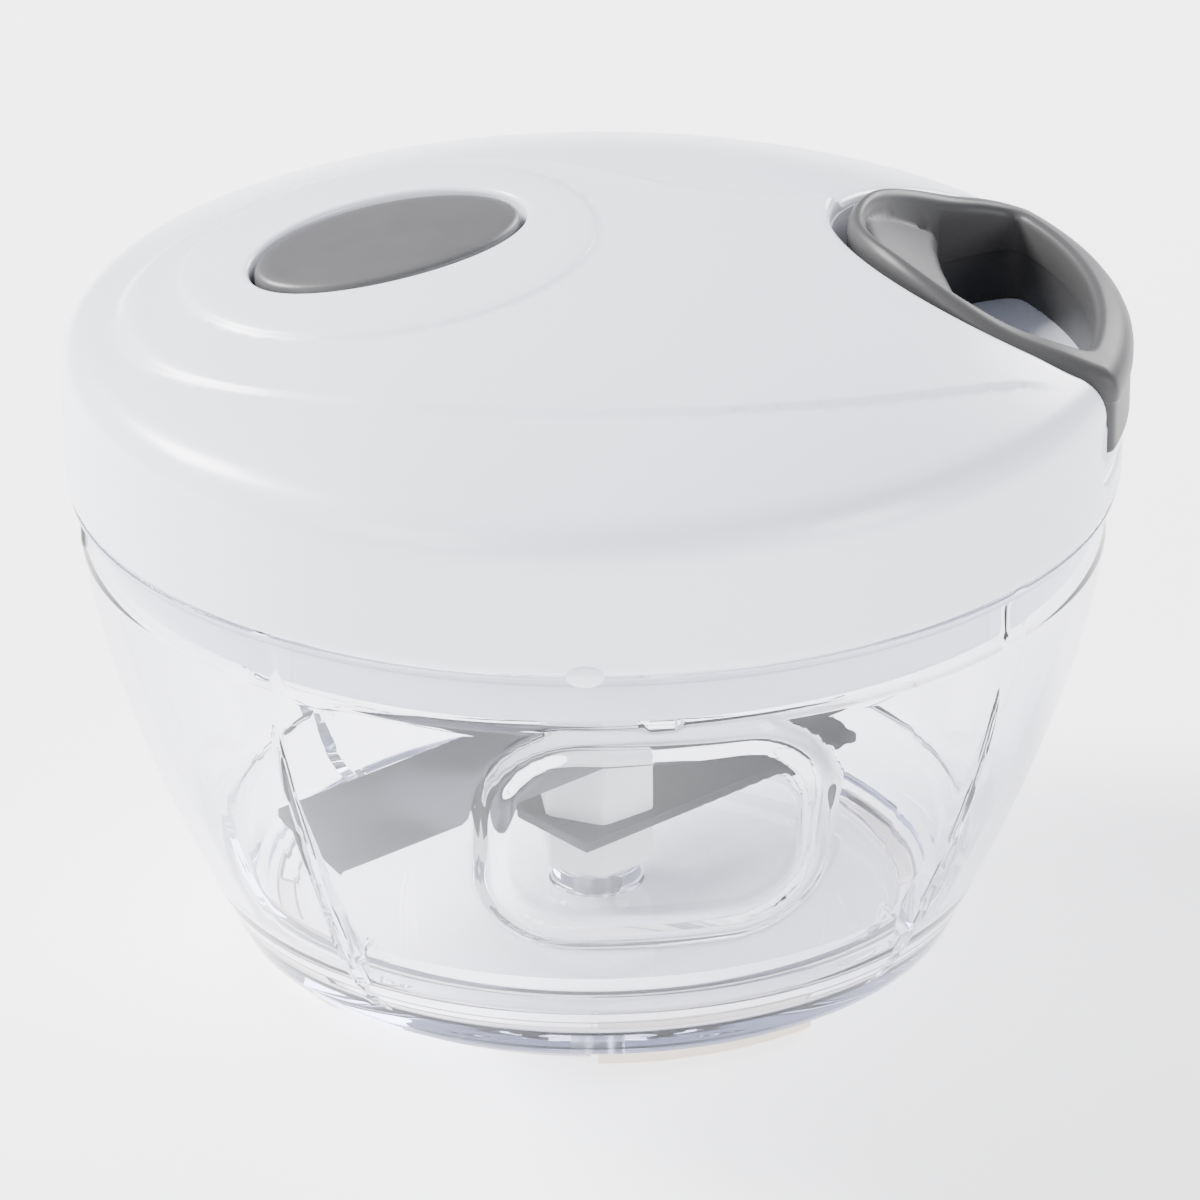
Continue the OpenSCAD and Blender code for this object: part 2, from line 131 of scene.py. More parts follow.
class ChopperSizes(bpy.types.PropertyGroup):
    """Lengths that shape the visible pieces."""
    lid_radius: length("Lid radius", "Outer radius of the lid's skirt", LID_RADIUS * MM)
    dome_top: length("Dome top", "Height of the middle of the dome", 0.088)
    dome_drop: length("Dome drop", "How far the dome falls at 58 mm from the middle", 0.0095)
    corner_radius: length("Corner radius", "Rounding between dome and skirt", 0.0055)
    lid_wall: length("Lid wall", "Thickness of the lid", 0.002)
    swirl_front: length("Front step", "Height of the swirl's step at the front", 0.00032)
    swirl_back: length("Back step", "Height of the swirl's step at the back", 0.0014)
    plateau_radius: length("Plateau radius", "Radius of the raised round around the button", 0.0245)
    bowl_wall: length("Bowl wall", "Thickness of the clear bowl", 0.0023)
    bead_height: length("Bead height", "How far the raised frame stands off the bowl", 0.0009)
    bead_stroke: length("Bead stroke", "Width of the raised frame's line", 0.0040)
    handle_proud: length("Handle proud", "How far the finger ring stands above the dome", 0.0011)
    handle_wall: length("Handle wall", "Width of the finger ring's rim", 0.0052)
    blade_thickness: length("Blade thickness", "Thickness of the blades", 0.0012)


class ChopperColours(bpy.types.PropertyGroup):
    """Colours of the finishes."""
    white: colour("White", "Lid and white mouldings", (0.85, 0.865, 0.93))
    ring_grey: colour("Ring grey", "Glossy finger ring", (0.057, 0.056, 0.055))
    button_grey: colour("Button grey", "Satin button", (0.072, 0.071, 0.0695))
    clear_tint: colour("Clear tint", "Tint of the clear bowl", (0.985, 0.988, 1.0))
    # painted shade: a dark violet mixed in where the bowl is seen edge on, standing in for dark surroundings
    # refracted at its edges
    clear_edge: colour("Clear edge", "Tint of the clear bowl where it is seen edge on", (0.50, 0.51, 0.68))
    pad: colour("Pad", "Non-slip pad", (0.80, 0.715, 0.60))
    # painted reflection: the steel is much darker than bare steel so the blades show the dark reflections they would
    # mirror
    steel: colour("Steel", "Blades", (0.15, 0.15, 0.158))
    cord: colour("Cord", "Pull cord", (0.78, 0.78, 0.76))


def sizes():
    """The sizes in millimetres."""
    held = bpy.context.scene.chopper_sizes
    return {k: getattr(held, k) / MM for k in ChopperSizes.__annotations__}


def colours():
    """The colours, as tuples."""
    held = bpy.context.scene.chopper_colours
    return {k: tuple(getattr(held, k)) for k in ChopperColours.__annotations__}


# ---- materials ----

def add_node(tree, kind, **values):
    """A shader or geometry node with its inputs set by name."""
    node = tree.nodes.new(kind)
    for key, value in values.items():
        if key in node.inputs:
            node.inputs[key].default_value = value
        else:
            setattr(node, key, value)
    return node


def wire_up(tree, *links):
    """Links sockets, each given as (from node, socket, to node, socket)."""
    for source, given, target, taken in links:
        tree.links.new(source.outputs[given], target.inputs[taken])


def surface_noise(tree, scale, detail=3.0, stretch=(1, 1, 1)):
    """Noise over the object's own coordinates, stretched along an axis."""
    place = add_node(tree, "ShaderNodeTexCoord")
    mapping = add_node(tree, "ShaderNodeMapping")
    mapping.inputs["Scale"].default_value = stretch
    noise = add_node(tree, "ShaderNodeTexNoise", Scale=scale, Detail=detail)
    wire_up(tree, (place, "Object", mapping, "Vector"), (mapping, "Vector", noise, "Vector"))
    return noise.outputs["Fac"]


def spread(tree, value, low, high):
    """Maps a 0 to 1 noise onto a range."""
    node = add_node(tree, "ShaderNodeMapRange")
    node.inputs["From Min"].default_value = 0.3
    node.inputs["From Max"].default_value = 0.7
    node.inputs["To Min"].default_value = low
    node.inputs["To Max"].default_value = high
    tree.links.new(value, node.inputs["Value"])
    return node.outputs["Result"]


def finish(name, tint, rough, shift=0.04, grain=900.0, depth=0.00001, mottle=0.03,
           stretch=(1, 1, 1), **sockets):
    """A Principled finish with fine bump, slight mottling and roughness that varies."""
    held = bpy.data.materials.get(name)
    if held:
        return held
    made = bpy.data.materials.new(name)
    made.use_nodes = True
    tree = made.node_tree
    shader = tree.nodes["Principled BSDF"]
    for key, value in sockets.items():
        shader.inputs[key.replace("_", " ")].default_value = value
    broad = surface_noise(tree, grain * 0.06, 4.0, stretch)
    fine = surface_noise(tree, grain, 2.0, stretch)
    mix = add_node(tree, "ShaderNodeMix", data_type="RGBA")
    mix.inputs[6].default_value = (*[c * (1 - mottle) for c in tint], 1)
    mix.inputs[7].default_value = (*[min(c * (1 + mottle), 1) for c in tint], 1)
    tree.links.new(broad, mix.inputs[0])
    tree.links.new(mix.outputs[2], shader.inputs["Base Color"])
    tree.links.new(spread(tree, broad, rough - shift, rough + shift), shader.inputs["Roughness"])
    bump = add_node(tree, "ShaderNodeBump", Strength=1.0, Distance=depth)
    tree.links.new(fine, bump.inputs["Height"])
    tree.links.new(bump.outputs["Normal"], shader.inputs["Normal"])
    return made


def plain(name):
    """One of the plain finishes: tint or colour setting, roughness, its spread, grain, bump, mottle, sockets."""
    tint, rough, shift, grain, depth, mottle, sockets = {
        "white_gloss_plastic": ("white", 0.30, 0.04, 700, 0.000006, 0.008,
                                {"Coat_Weight": 0.15, "Coat_Roughness": 0.15}),
        "grey_gloss_plastic": ("ring_grey", 0.44, 0.05, 800, 0.000008, 0.05, {"Specular_IOR_Level": 0.22}),
        "grey_satin_plastic": ("button_grey", 0.46, 0.05, 2600, 0.00002, 0.03, {}),
        "moulded_white_nylon": ((0.80, 0.80, 0.80), 0.42, 0.06, 900, 0.00001, 0.02, {}),
        "moulded_grey_nylon": ((0.30, 0.30, 0.31), 0.45, 0.06, 900, 0.00001, 0.04, {}),
        "seal_silicone": ((0.72, 0.72, 0.70), 0.50, 0.06, 1200, 0.00001, 0.02, {}),
        "drawn_steel": ((0.56, 0.56, 0.57), 0.30, 0.06, 1400, 0.00001, 0.08, {"Metallic": 1.0}),
        "tempered_spring_wire": ((0.30, 0.31, 0.33), 0.34, 0.06, 1400, 0.00001, 0.10, {"Metallic": 1.0}),
        "turned_brass": ((0.70, 0.50, 0.22), 0.32, 0.06, 1200, 0.00001, 0.08, {"Metallic": 1.0}),
        "braided_cord": ("cord", 0.75, 0.05, 2600, 0.00006, 0.08, {}),
    }[name]
    tint = colours()[tint] if isinstance(tint, str) else tint
    return finish(name, tint, rough, shift, grain, depth, mottle, **sockets)


def pad_rubber():
    """Cream rubber, painted paler away from its rim: painted light that makes the middle, seen through the bowl's
    floor, look brightly lit.
    """
    made = bpy.data.materials.get("cream_rubber")
    if made:
        return made
    made = finish("cream_rubber", colours()["pad"], 0.62, 0.06, 1500, 0.00003, 0.03)
    tree = made.node_tree
    shader = tree.nodes["Principled BSDF"]
    base = shader.inputs["Base Color"].links[0].from_socket
    place = add_node(tree, "ShaderNodeTexCoord")
    around = add_node(tree, "ShaderNodeVectorMath", operation="MULTIPLY")
    around.inputs[1].default_value = (1, 1, 0)
    reach = add_node(tree, "ShaderNodeVectorMath", operation="LENGTH")
    tree.links.new(place.outputs["Object"], around.inputs[0])
    tree.links.new(around.outputs["Vector"], reach.inputs[0])
    # painted light: the pad's middle gets a paler colour and turns to cream over its last 2 mm towards the rim
    painted_light_fade = add_node(tree, "ShaderNodeMapRange")
    painted_light_fade.inputs["From Min"].default_value = 0.0355
    painted_light_fade.inputs["From Max"].default_value = 0.0375
    tree.links.new(reach.outputs["Value"], painted_light_fade.inputs["Value"])
    mix = add_node(tree, "ShaderNodeMix", data_type="RGBA")
    mix.inputs[6].default_value = (0.90, 0.89, 0.87, 1)
    tree.links.new(painted_light_fade.outputs["Result"], mix.inputs[0])
    tree.links.new(base, mix.inputs[7])
    tree.links.new(mix.outputs[2], shader.inputs["Base Color"])
    return made


def blade_steel(name, tint):
    """Polished steel with darker patches of painted reflection, standing in for dark surroundings mirrored in the
    blades.
    """
    made = finish(name, tint, 0.14, 0.05, 1100, 0.000003, 0.10,
                  stretch=(0.12, 1.0, 1.0), Metallic=1.0, Specular_Tint=(0.35, 0.35, 0.37, 1))
    tree = made.node_tree
    shader = tree.nodes["Principled BSDF"]
    base = shader.inputs["Base Color"].links[0].from_socket
    # painted reflection: noise mixes in a steel tint at 0.3 of its brightness, in patches
    mix = add_node(tree, "ShaderNodeMix", data_type="RGBA")
    mix.inputs[7].default_value = (*[c * 0.3 for c in tint], 1)
    tree.links.new(spread(tree, surface_noise(tree, 55.0, 1.0), -0.6, 1.6), mix.inputs[0])
    tree.links.new(base, mix.inputs[6])
    tree.links.new(mix.outputs[2], shader.inputs["Base Color"])
    return made


def clear_plastic():
    """Clear moulded plastic with a faint violet depth, and painted shade, a darker violet, where its surface is seen
    edge on.

    Shadow rays and long-trapped rays pass straight through."""
    held = bpy.data.materials.get("moulded_clear_styrene")
    if held:
        return held
    made = bpy.data.materials.new("moulded_clear_styrene")
    made.use_nodes = True
    tree = made.node_tree
    shader = tree.nodes["Principled BSDF"]
    shader.inputs["Transmission Weight"].default_value = 1.0
    shader.inputs["IOR"].default_value = 1.49
    shader.inputs["Roughness"].default_value = 0.0
    shader.inputs["Specular IOR Level"].default_value = 0.32
    # painted shade: the base colour turns to the dark edge colour where the surface is seen edge on
    facing = add_node(tree, "ShaderNodeLayerWeight", Blend=0.5)
    steep = add_node(tree, "ShaderNodeMath", operation="POWER")
    steep.inputs[1].default_value = 3.0
    rim = add_node(tree, "ShaderNodeMix", data_type="RGBA")
    rim.inputs[6].default_value = (*colours()["clear_tint"], 1)
    rim.inputs[7].default_value = (*colours()["clear_edge"], 1)
    bump = add_node(tree, "ShaderNodeBump", Strength=0.5, Distance=0.00002)
    tree.links.new(surface_noise(tree, 60.0, 2.0), bump.inputs["Height"])
    path = add_node(tree, "ShaderNodeLightPath")
    through = add_node(tree, "ShaderNodeBsdfTransparent")
    through.inputs["Color"].default_value = (0.98, 0.982, 0.99, 1)
    trapped = add_node(tree, "ShaderNodeMath", operation="GREATER_THAN")
    trapped.inputs[1].default_value = 7.0
    either = add_node(tree, "ShaderNodeMath", operation="MAXIMUM")
    mix = add_node(tree, "ShaderNodeMixShader")
    tint = add_node(tree, "ShaderNodeVolumeAbsorption")
    tint.inputs["Color"].default_value = (0.80, 0.81, 0.97, 1)
    tint.inputs["Density"].default_value = 26.0
    out = tree.nodes["Material Output"]
    wire_up(tree, (facing, "Facing", steep, 0), (steep, "Value", rim, 0), (rim, 2, shader, "Base Color"),
            (bump, "Normal", shader, "Normal"), (path, "Ray Depth", trapped, 0), (path, "Is Shadow Ray", either, 0),
            (trapped, "Value", either, 1), (either, "Value", mix, 0), (shader, "BSDF", mix, 1),
            (through, "BSDF", mix, 2), (mix, "Shader", out, "Surface"), (tint, "Volume", out, "Volume"))
    return made


# ---- mesh helpers ----

def arc(centre, radius, start, stop, steps):
    """Points along an arc, angles in degrees."""
    return [(centre[0] + radius * math.cos(math.radians(a)), centre[1] + radius * math.sin(math.radians(a)))
            for a in np.linspace(start, stop, steps + 1)]


def rounded(points, steps=5):
    """A closed outline of (x, y, radius) corners, each corner rounded to its radius."""
    out = []
    count = len(points)
    for i, (x, y, radius) in enumerate(points):
        here = np.array([x, y], float)
        if radius <= 0:
            out.append((x, y))
            continue
        before = np.array(points[i - 1][:2], float) - here
        after = np.array(points[(i + 1) % count][:2], float) - here
        d0, d1 = before / np.linalg.norm(before), after / np.linalg.norm(after)
        half = math.acos(max(-1, min(1, float(d0 @ d1)))) / 2
        reach = min(radius / math.tan(half), 0.49 * np.linalg.norm(before), 0.49 * np.linalg.norm(after))
        start, stop = here + d0 * reach, here + d1 * reach
        for k in range(steps + 1):
            t = k / steps
            out.append(tuple(start * (1 - t) ** 2 + here * 2 * t * (1 - t) + stop * t ** 2))
    return out


def lathe(profile, segments=192, closed=True):
    """Turns (radius, height) points about the Z axis.

    A closed profile makes a ring; an open one ends on the axis."""
    verts, faces, rings = [], [], []
    for r, z in profile:
        if r < 1e-6:
            rings.append([len(verts)] * segments)
            verts.append((0, 0, z))
            continue
        rings.append(list(range(len(verts), len(verts) + segments)))
        for k in range(segments):
            a = 2 * math.pi * k / segments
            verts.append((r * math.cos(a), r * math.sin(a), z))
    pairs = list(zip(rings[:-1], rings[1:])) + ([(rings[-1], rings[0])] if closed else [])
    for low, high in pairs:
        for k in range(segments):
            n = (k + 1) % segments
            face = list(dict.fromkeys((low[k], low[n], high[n], high[k])))
            if len(face) > 2:
                faces.append(face)
    return verts, faces


def loft(rings, caps=True):
    """Quads between closed rings of equal length, with an even fan at each end."""
    verts, faces = [], []
    count = len(rings[0])
    for ring in rings:
        verts.extend(tuple(p) for p in ring)
    for j in range(len(rings) - 1):
        for k in range(count):
            n = (k + 1) % count
            faces.append((j * count + k, j * count + n, (j + 1) * count + n, (j + 1) * count + k))
    if caps:
        for ring, flip in ((0, True), (len(rings) - 1, False)):
            middle = len(verts)
            verts.append(tuple(np.mean(np.array(rings[ring], float), axis=0)))
            for k in range(count):
                n = (k + 1) % count
                a, b = ring * count + k, ring * count + n
                faces.append((b, a, middle) if flip else (a, b, middle))
    return verts, faces


def joined(*parts):
    """Several (verts, faces) pairs as one."""
    verts, faces = [], []
    for v, f in parts:
        start = len(verts)
        verts.extend(tuple(map(float, p)) for p in v)
        faces.extend(tuple(start + i for i in face) for face in f)
    return verts, faces


def make_piece(name, shape, material, body, replaces=(), sharp=40):
    """A mesh object in metres, made from millimetres, that rides on a body."""
    verts, faces = shape
    mesh = bpy.data.meshes.new(name)
    mesh.from_pydata([(x * MM, y * MM, z * MM) for x, y, z in verts], [], [list(f) for f in faces])
    held = bmesh.new()
    held.from_mesh(mesh)
    bmesh.ops.remove_doubles(held, verts=held.verts, dist=1e-7)
    bmesh.ops.dissolve_degenerate(held, edges=held.edges, dist=1e-8)
    bmesh.ops.recalc_face_normals(held, faces=held.faces)
    held.to_mesh(mesh)
    held.free()
    mesh.validate()
    mesh.shade_smooth()
    mesh.set_sharp_from_angle(angle=math.radians(sharp))
    mesh.materials.append(material)
    return placed(name, mesh, body, replaces)


def placed(name, mesh, body, replaces):
    """An object for a finished mesh, tied to its body; the CAD nodes it stands for are hidden."""
    made = bpy.data.objects.new(name, mesh)
    bpy.context.scene.collection.objects.link(made)
    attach(made, body)
    if replaces:
        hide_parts(*replaces)
    return made


def smooth(t):
    """Smooth step from 0 to 1."""
    t = np.clip(t, 0, 1)
    return t * t * (3 - 2 * t)


def round_edge(d, radius):
    """How far a surface sinks at distance d from a rounded edge."""
    t = np.clip(d, 0, radius)
    return radius - np.sqrt(np.maximum(radius ** 2 - (radius - t) ** 2, 0))


def resample(loop, step):
    """A closed loop with even spacing."""
    loop = np.array(loop, float)
    ends = np.roll(loop, -1, axis=0)
    lengths = np.linalg.norm(ends - loop, axis=1)
    total = lengths.sum()
    at = np.concatenate([[0], np.cumsum(lengths)])
    count = max(int(round(total / step)), 8)
    want = np.arange(count) * total / count
    closed = np.vstack([loop, loop[:1]])
    return np.stack([np.interp(want, at, closed[:, i]) for i in range(loop.shape[1])], 1)


def relax(loop, times):
    """Rounds the corners of a closed loop by averaging neighbours."""
    for _ in range(times):
        loop = (np.roll(loop, 1, axis=0) + 2 * loop + np.roll(loop, -1, axis=0)) / 4
    return loop


def inset(loop, distance):
    """Moves a closed loop to its left by a distance."""
    along = np.roll(loop, -1, axis=0) - np.roll(loop, 1, axis=0)
    along /= np.maximum(np.linalg.norm(along, axis=1, keepdims=True), 1e-9)
    return loop + distance * np.stack([-along[:, 1], along[:, 0]], 1)


def anticlockwise(loop):
    """The loop, turned round if it runs clockwise."""
    x, y = loop[:, 0], loop[:, 1]
    area = np.sum(x * np.roll(y, -1) - np.roll(x, -1) * y)
    return loop if area > 0 else loop[::-1]


def depth_inside(points, loop):
    """Signed distance to a closed loop, positive inside."""
    a, b = loop, np.roll(loop, -1, axis=0)
    ab = b - a
    out = np.empty(len(points))
    for start in range(0, len(points), 4000):
        p = points[start:start + 4000, None, :]
        t = np.clip(((p - a) * ab).sum(2) / np.maximum((ab ** 2).sum(1), 1e-12), 0, 1)
        near = np.sqrt((((a + t[..., None] * ab) - p) ** 2).sum(2)).min(1)
        y = p[:, :, 1]
        crosses = ((a[:, 1] > y) != (b[:, 1] > y)) & (
            p[:, :, 0] < a[:, 0] + (y - a[:, 1]) * ab[:, 0] / np.where(ab[:, 1] == 0, 1e-12, ab[:, 1]))
        inside = crosses.sum(1) % 2 == 1
        out[start:start + 4000] = np.where(inside, near, -near)
    return out


def triangulate(loops, scattered, keep):
    """Triangles over a plane that follow closed loops; keep(points) says which triangle middles stay."""
    points, edges = [], []
    for loop in loops:
        start = len(points)
        points.extend(map(tuple, loop))
        edges.extend((start + i, start + (i + 1) % len(loop)) for i in range(len(loop)))
    tree = kdtree.KDTree(len(points))
    for i, (x, y) in enumerate(points):
        tree.insert((x, y, 0), i)
    tree.balance()
    points.extend((x, y) for x, y in scattered if tree.find((x, y, 0))[2] > 0.45)
    result = geometry.delaunay_2d_cdt([Vector(p) for p in points], edges, [], 0, 1e-5)
    flat = np.array([tuple(v) for v in result[0]])
    faces = np.array(result[2])
    middles = flat[faces].mean(axis=1)
    faces = faces[keep(middles)]
    used = np.unique(faces)
    index = np.full(len(flat), -1)
    index[used] = np.arange(len(used))
    return flat[used], index[faces]


def border_edges(faces):
    """Directed edges that only one triangle has."""
    edges = np.concatenate([faces[:, [0, 1]], faces[:, [1, 2]], faces[:, [2, 0]]])
    held = {tuple(e) for e in edges.tolist()}
    return [e for e in held if (e[1], e[0]) not in held]


# ---- outlines seen from above ----

def pocket_outline(side_gap, tip_gap):
    """Half width of the handle pocket along X, from its tip to its widest place."""
    turn = np.radians(np.linspace(90, 0, 40))
    x = POCKET_MIDDLE - (POCKET_LENGTH - tip_gap) * np.sin(turn)
    y = (POCKET_HALF - side_gap) * np.power(np.maximum(1 - np.power(np.sin(turn), 1.9), 0), 0.57)
    return x, y


def pocket_loop(side_gap, tip_gap, front_radius):
    """Closed outline of the pocket shape, cut off in front by a circle about the axis."""
    x, y = pocket_outline(side_gap, tip_gap)
    half = POCKET_HALF - side_gap
    end = math.asin(half / front_radius)
    front = [(front_radius * math.cos(a), front_radius * math.sin(a)) for a in np.linspace(end, -end, 30)]
    inside = [(a, b) for a, b in zip(x, y) if math.hypot(a, b) < front_radius - 0.3]
    upper, lower = inside, [(a, -b) for a, b in inside[:0:-1]]
    return anticlockwise(np.array(upper + front + lower))


def swirl_loop():
    """Outline of the raised swirl on the lid: front line, left turn, then the ridge back to the pocket's tip."""
    corners = [(52, -29.5), (45.2, -32.8), (37.5, -36.6), (28.6, -40.2), (19.5, -42.6), (9, -44), (0, -44),
               (-9.3, -42.8), (-17.5, -40.8), (-26, -37.4), (-34, -32.9), (-41.8, -27.5), (-49, -20.4),
               (-53.6, -13.6), (-56, -6.6), (-56.4, 1), (-54.6, 9.4), (-50.4, 16.6), (-44, 22.6), (-36.5, 26.6),
               (-28, 29), (-19.5, 29.6), (-11.5, 28.9), (-4, 26.2), (2.4, 22), (7.6, 16.8), (12.4, 12.8),
               (18, 10.6), (24.5, 9.8), (31, 11), (40, 10), (54, 0), (56, -20)]
    return smooth_loop(corners)


def smooth_loop(corners, steps=8):
    """A closed Catmull-Rom curve through the corners."""
    p = np.array(corners, float)
    out = []
    for i in range(len(p)):
        a, b, c, d = p[i - 1], p[i], p[(i + 1) % len(p)], p[(i + 2) % len(p)]
        for k in range(steps):
            t = k / steps
            out.append(0.5 * ((2 * b) + (c - a) * t + (2 * a - 5 * b + 4 * c - d) * t ** 2
                              + (3 * b - a - 3 * c + d) * t ** 3))
    return anticlockwise(np.array(out))


def oval_loop(grow, count=96):
    """The button's oval in the lid's plan."""
    turn = BUTTON_TURN
    a = np.linspace(0, 2 * math.pi, count, endpoint=False)
    x, y = (BUTTON_HALF[0] + grow) * np.cos(a), (BUTTON_HALF[1] + grow) * np.sin(a)
    return np.stack([BUTTON_X + x * math.cos(turn) - y * math.sin(turn),
                     BUTTON_Y + x * math.sin(turn) + y * math.cos(turn)], 1)


# ---- lid ----

class LidSurface:
    """The lid's outside over a flat map: distance from the map's middle is the length along the lid's section."""

    def __init__(self, size):
        self.size = size
        self.corner_x = size["lid_radius"] - size["corner_radius"]
        self.start = math.radians(68)
        self.bend = self.corner_x + size["corner_radius"] * math.cos(self.start)
        self.corner_z = self.dome(self.bend) - size["corner_radius"] * math.sin(self.start)
        self.drop = self.bend + size["corner_radius"] * self.start
        self.edge = self.drop + self.corner_z - LID_EDGE_Z
        self.swirl = resample(swirl_loop(), 1.0)

    def dome(self, r):
        """Height of the plain dome at radius r."""
        fall = np.power(np.asarray(r, float) / DOME_REACH, DOME_POWER)
        return self.size["dome_top"] - self.size["dome_drop"] * fall

    def section(self, s):
        """Radius, height and outward normal angle at length s."""
        size = self.size
        turn = self.start - (s - self.bend) / size["corner_radius"]
        rounding = self.corner_x + size["corner_radius"] * np.cos(turn)
        r = np.where(s < self.bend, s, np.where(s < self.drop, rounding,
                                                 size["lid_radius"] - 0.02 * (s - self.drop)))
        z = np.where(s < self.bend, self.dome(s), np.where(
            s < self.drop, self.corner_z + size["corner_radius"] * np.sin(turn), self.corner_z - (s - self.drop)))
        steep = np.power(np.maximum(s, 0) / DOME_REACH, DOME_POWER - 1)
        slope = size["dome_drop"] * DOME_POWER / DOME_REACH * steep
        lean = np.where(s < self.bend, math.pi / 2 - np.arctan(slope), np.where(s < self.drop, turn, 0.0))
        return r, z, lean

    def relief(self, x, y):
        """Height of the swirl and of the button's plateau above the dome."""
        size = self.size
        points = np.stack([x, y], 1)
        r = np.hypot(x, y)
        depth = depth_inside(points, self.swirl)
        back = smooth((y + 30) / 44)
        amount = size["swirl_front"] + (size["swirl_back"] - size["swirl_front"]) * back
        width = 0.5 + 2.4 * back
        lift = amount * smooth(depth / width)
        lift += 0.35 * back * np.exp(-((depth - 2.4) / 2.0) ** 2) * (r < 55)
        local_x, local_y = x - BUTTON_X, y - BUTTON_Y
        reach = np.hypot(local_x, local_y)
        base = self.dome(r) + lift
        top = self.dome(-BUTTON_X) + 0.95 + math.tan(BUTTON_LEAN) * local_x - reach ** 2 / BUTTON_CROWN
        t = np.clip((size["plateau_radius"] - reach) / 3.2, 0, 1)
        rise = np.sqrt(np.maximum(1 - (1 - t) ** 2, 0))
        return lift + np.maximum(top - base, 0.45) * rise

    def at(self, u, v, holes=()):
        """Outer and inner points over the map; holes are (loop, edge radius) pairs."""
        s = np.hypot(u, v)
        safe = np.maximum(s, 1e-9)
        cu, cv = u / safe, v / safe
        r, z, lean = self.section(s)
        normal = np.stack([np.cos(lean) * cu, np.cos(lean) * cv, np.sin(lean)], 1)
        base = np.stack([r * cu, r * cv, z], 1)
        lift = np.where(s < self.bend, self.relief(base[:, 0], base[:, 1]), 0.0)
        fade = 1 - smooth((s - 54) / 5)
        sink = round_edge(self.edge - s, 0.6)
        for loop, radius in holes:
            sink = sink + round_edge(np.maximum(-depth_inside(np.stack([u, v], 1), loop), 0), radius)
        outer = base + normal * (-sink)[:, None]
        outer[:, 2] += lift * fade
        inner = base - normal * self.size["lid_wall"]
        return outer, inner

    def map_of(self, x, y, z=None):
        """Place on the map of a point of the lid, by its plan position, or by its height on the skirt."""
        r = np.hypot(x, y)
        turn = np.arctan2(y, x)
        s = r if z is None else self.drop + self.corner_z - z
        if z is None and r > self.bend:
            side = min((r - self.corner_x) / self.size["corner_radius"], 1.0)
            s = self.bend + self.size["corner_radius"] * (self.start - math.acos(side))
        return s * math.cos(turn), s * math.sin(turn)

    def pocket_hole(self):
        """The pocket's edge on the map: over the dome, down the skirt, and across below the handle."""
        x, y = pocket_outline(0, 0)
        inside = [(a, b) for a, b in zip(x, y) if math.hypot(a, b) < self.size["lid_radius"] - 0.02]
        half = math.asin(POCKET_HALF / self.size["lid_radius"])
        rim = (self.size["lid_radius"] * math.cos(half), POCKET_HALF)
        upper = [self.map_of(a, b) for a, b in inside]
        upper += [self.map_of(*rim, z) for z in np.linspace(self.corner_z, TRAY_LOW_Z, 12)]
        across = [self.map_of(math.cos(a), math.sin(a), TRAY_LOW_Z) for a in np.linspace(half, -half, 40)[1:-1]]
        lower = [(a, -b) for a, b in upper[::-1]]
        loop = resample(np.array(upper + across + lower[:-1]), 0.8)
        return anticlockwise(relax(loop, 3))


def lid_shell(surface):
    """The lid's moulded shell, with its pocket and button holes rounded."""
    pocket, oval = surface.pocket_hole(), anticlockwise(oval_loop(0.8))
    holes = [(pocket, 1.1), (oval, 0.7)]
    edge = [(surface.edge * math.cos(a), surface.edge * math.sin(a))
            for a in np.linspace(0, 2 * math.pi, 360, False)]
    loops = [np.array(edge)]
    for loop, radius in holes:
        loops += [inset(loop, -radius * (1 - math.cos(math.radians(a)))) for a in (0, 22, 45, 68, 90)]
    for radius in (surface.edge - 0.15, surface.edge - 0.6, surface.drop, surface.bend):
        loops.append(np.array(edge) * radius / surface.edge)
    scattered = []
    for s in np.arange(0.8, surface.edge - 1, 0.9):
        count = max(int(2 * math.pi * s / 1.1), 6)
        for k in range(count):
            a = 2 * math.pi * (k + 0.5 * (int(s / 0.9) % 2)) / count
            scattered.append((s * math.cos(a), s * math.sin(a)))
    scattered = np.array(scattered)
    clear = (depth_inside(scattered, pocket) < 0) & (depth_inside(scattered, oval) < 0)
    disc = np.array(edge)
    loops += [inset(surface.swirl, d) for d in (0.0, 0.5, 1.0)]
    round_a = np.linspace(0, 2 * math.pi, 160, endpoint=False)
    for d in (0, 0.25, 0.7, 1.4, 2.3, 3.2):
        reach = surface.size["plateau_radius"] - d
        loops.append(np.stack([BUTTON_X + reach * np.cos(round_a), BUTTON_Y + reach * np.sin(round_a)], 1))
    flat, faces = triangulate(loops, scattered[clear], lambda m: (
        depth_inside(m, pocket) < 0) & (depth_inside(m, oval) < 0) & (depth_inside(m, disc) > -1e-6))
    outer, inner = surface.at(flat[:, 0], flat[:, 1], holes)
    count = len(flat)
    verts = np.vstack([outer, inner])
    sides = [(b, a, a + count, b + count) for a, b in border_edges(faces)]
    return verts, [tuple(f) for f in faces] + [tuple(f[::-1] + count) for f in faces] + sides


def pocket_walls(surface):
    """Walls of the pocket, from its floor to just under the dome."""
    x, y = pocket_outline(-0.02, -0.02)
    inside = [(a, b) for a, b in zip(x, y) if a < 57]
    path = np.array([(a, -b) for a, b in inside[::-1]] + inside[1:])
    outward = path - np.array([50.0, 0.0])
    outward /= np.linalg.norm(outward, axis=1, keepdims=True)
    rings = []
    for (a, b), (ox, oy) in zip(path, outward):
        far = (a + 1.6 * ox, b + 1.6 * oy)
        if math.hypot(*far) > 60.5:
            far = (a, b + math.copysign(1.2, b))
        r = min(math.hypot(a, b), 61.0)
        top = float(surface.dome(r)) - 1.0 - 4.0 * max(r - 58.0, 0) / 3
        low = TRAY_TOP_Z
        rings.append([(a, b, low), (a, b, top), (*far, top - 0.4), (*far, low)])
    return loft(rings)


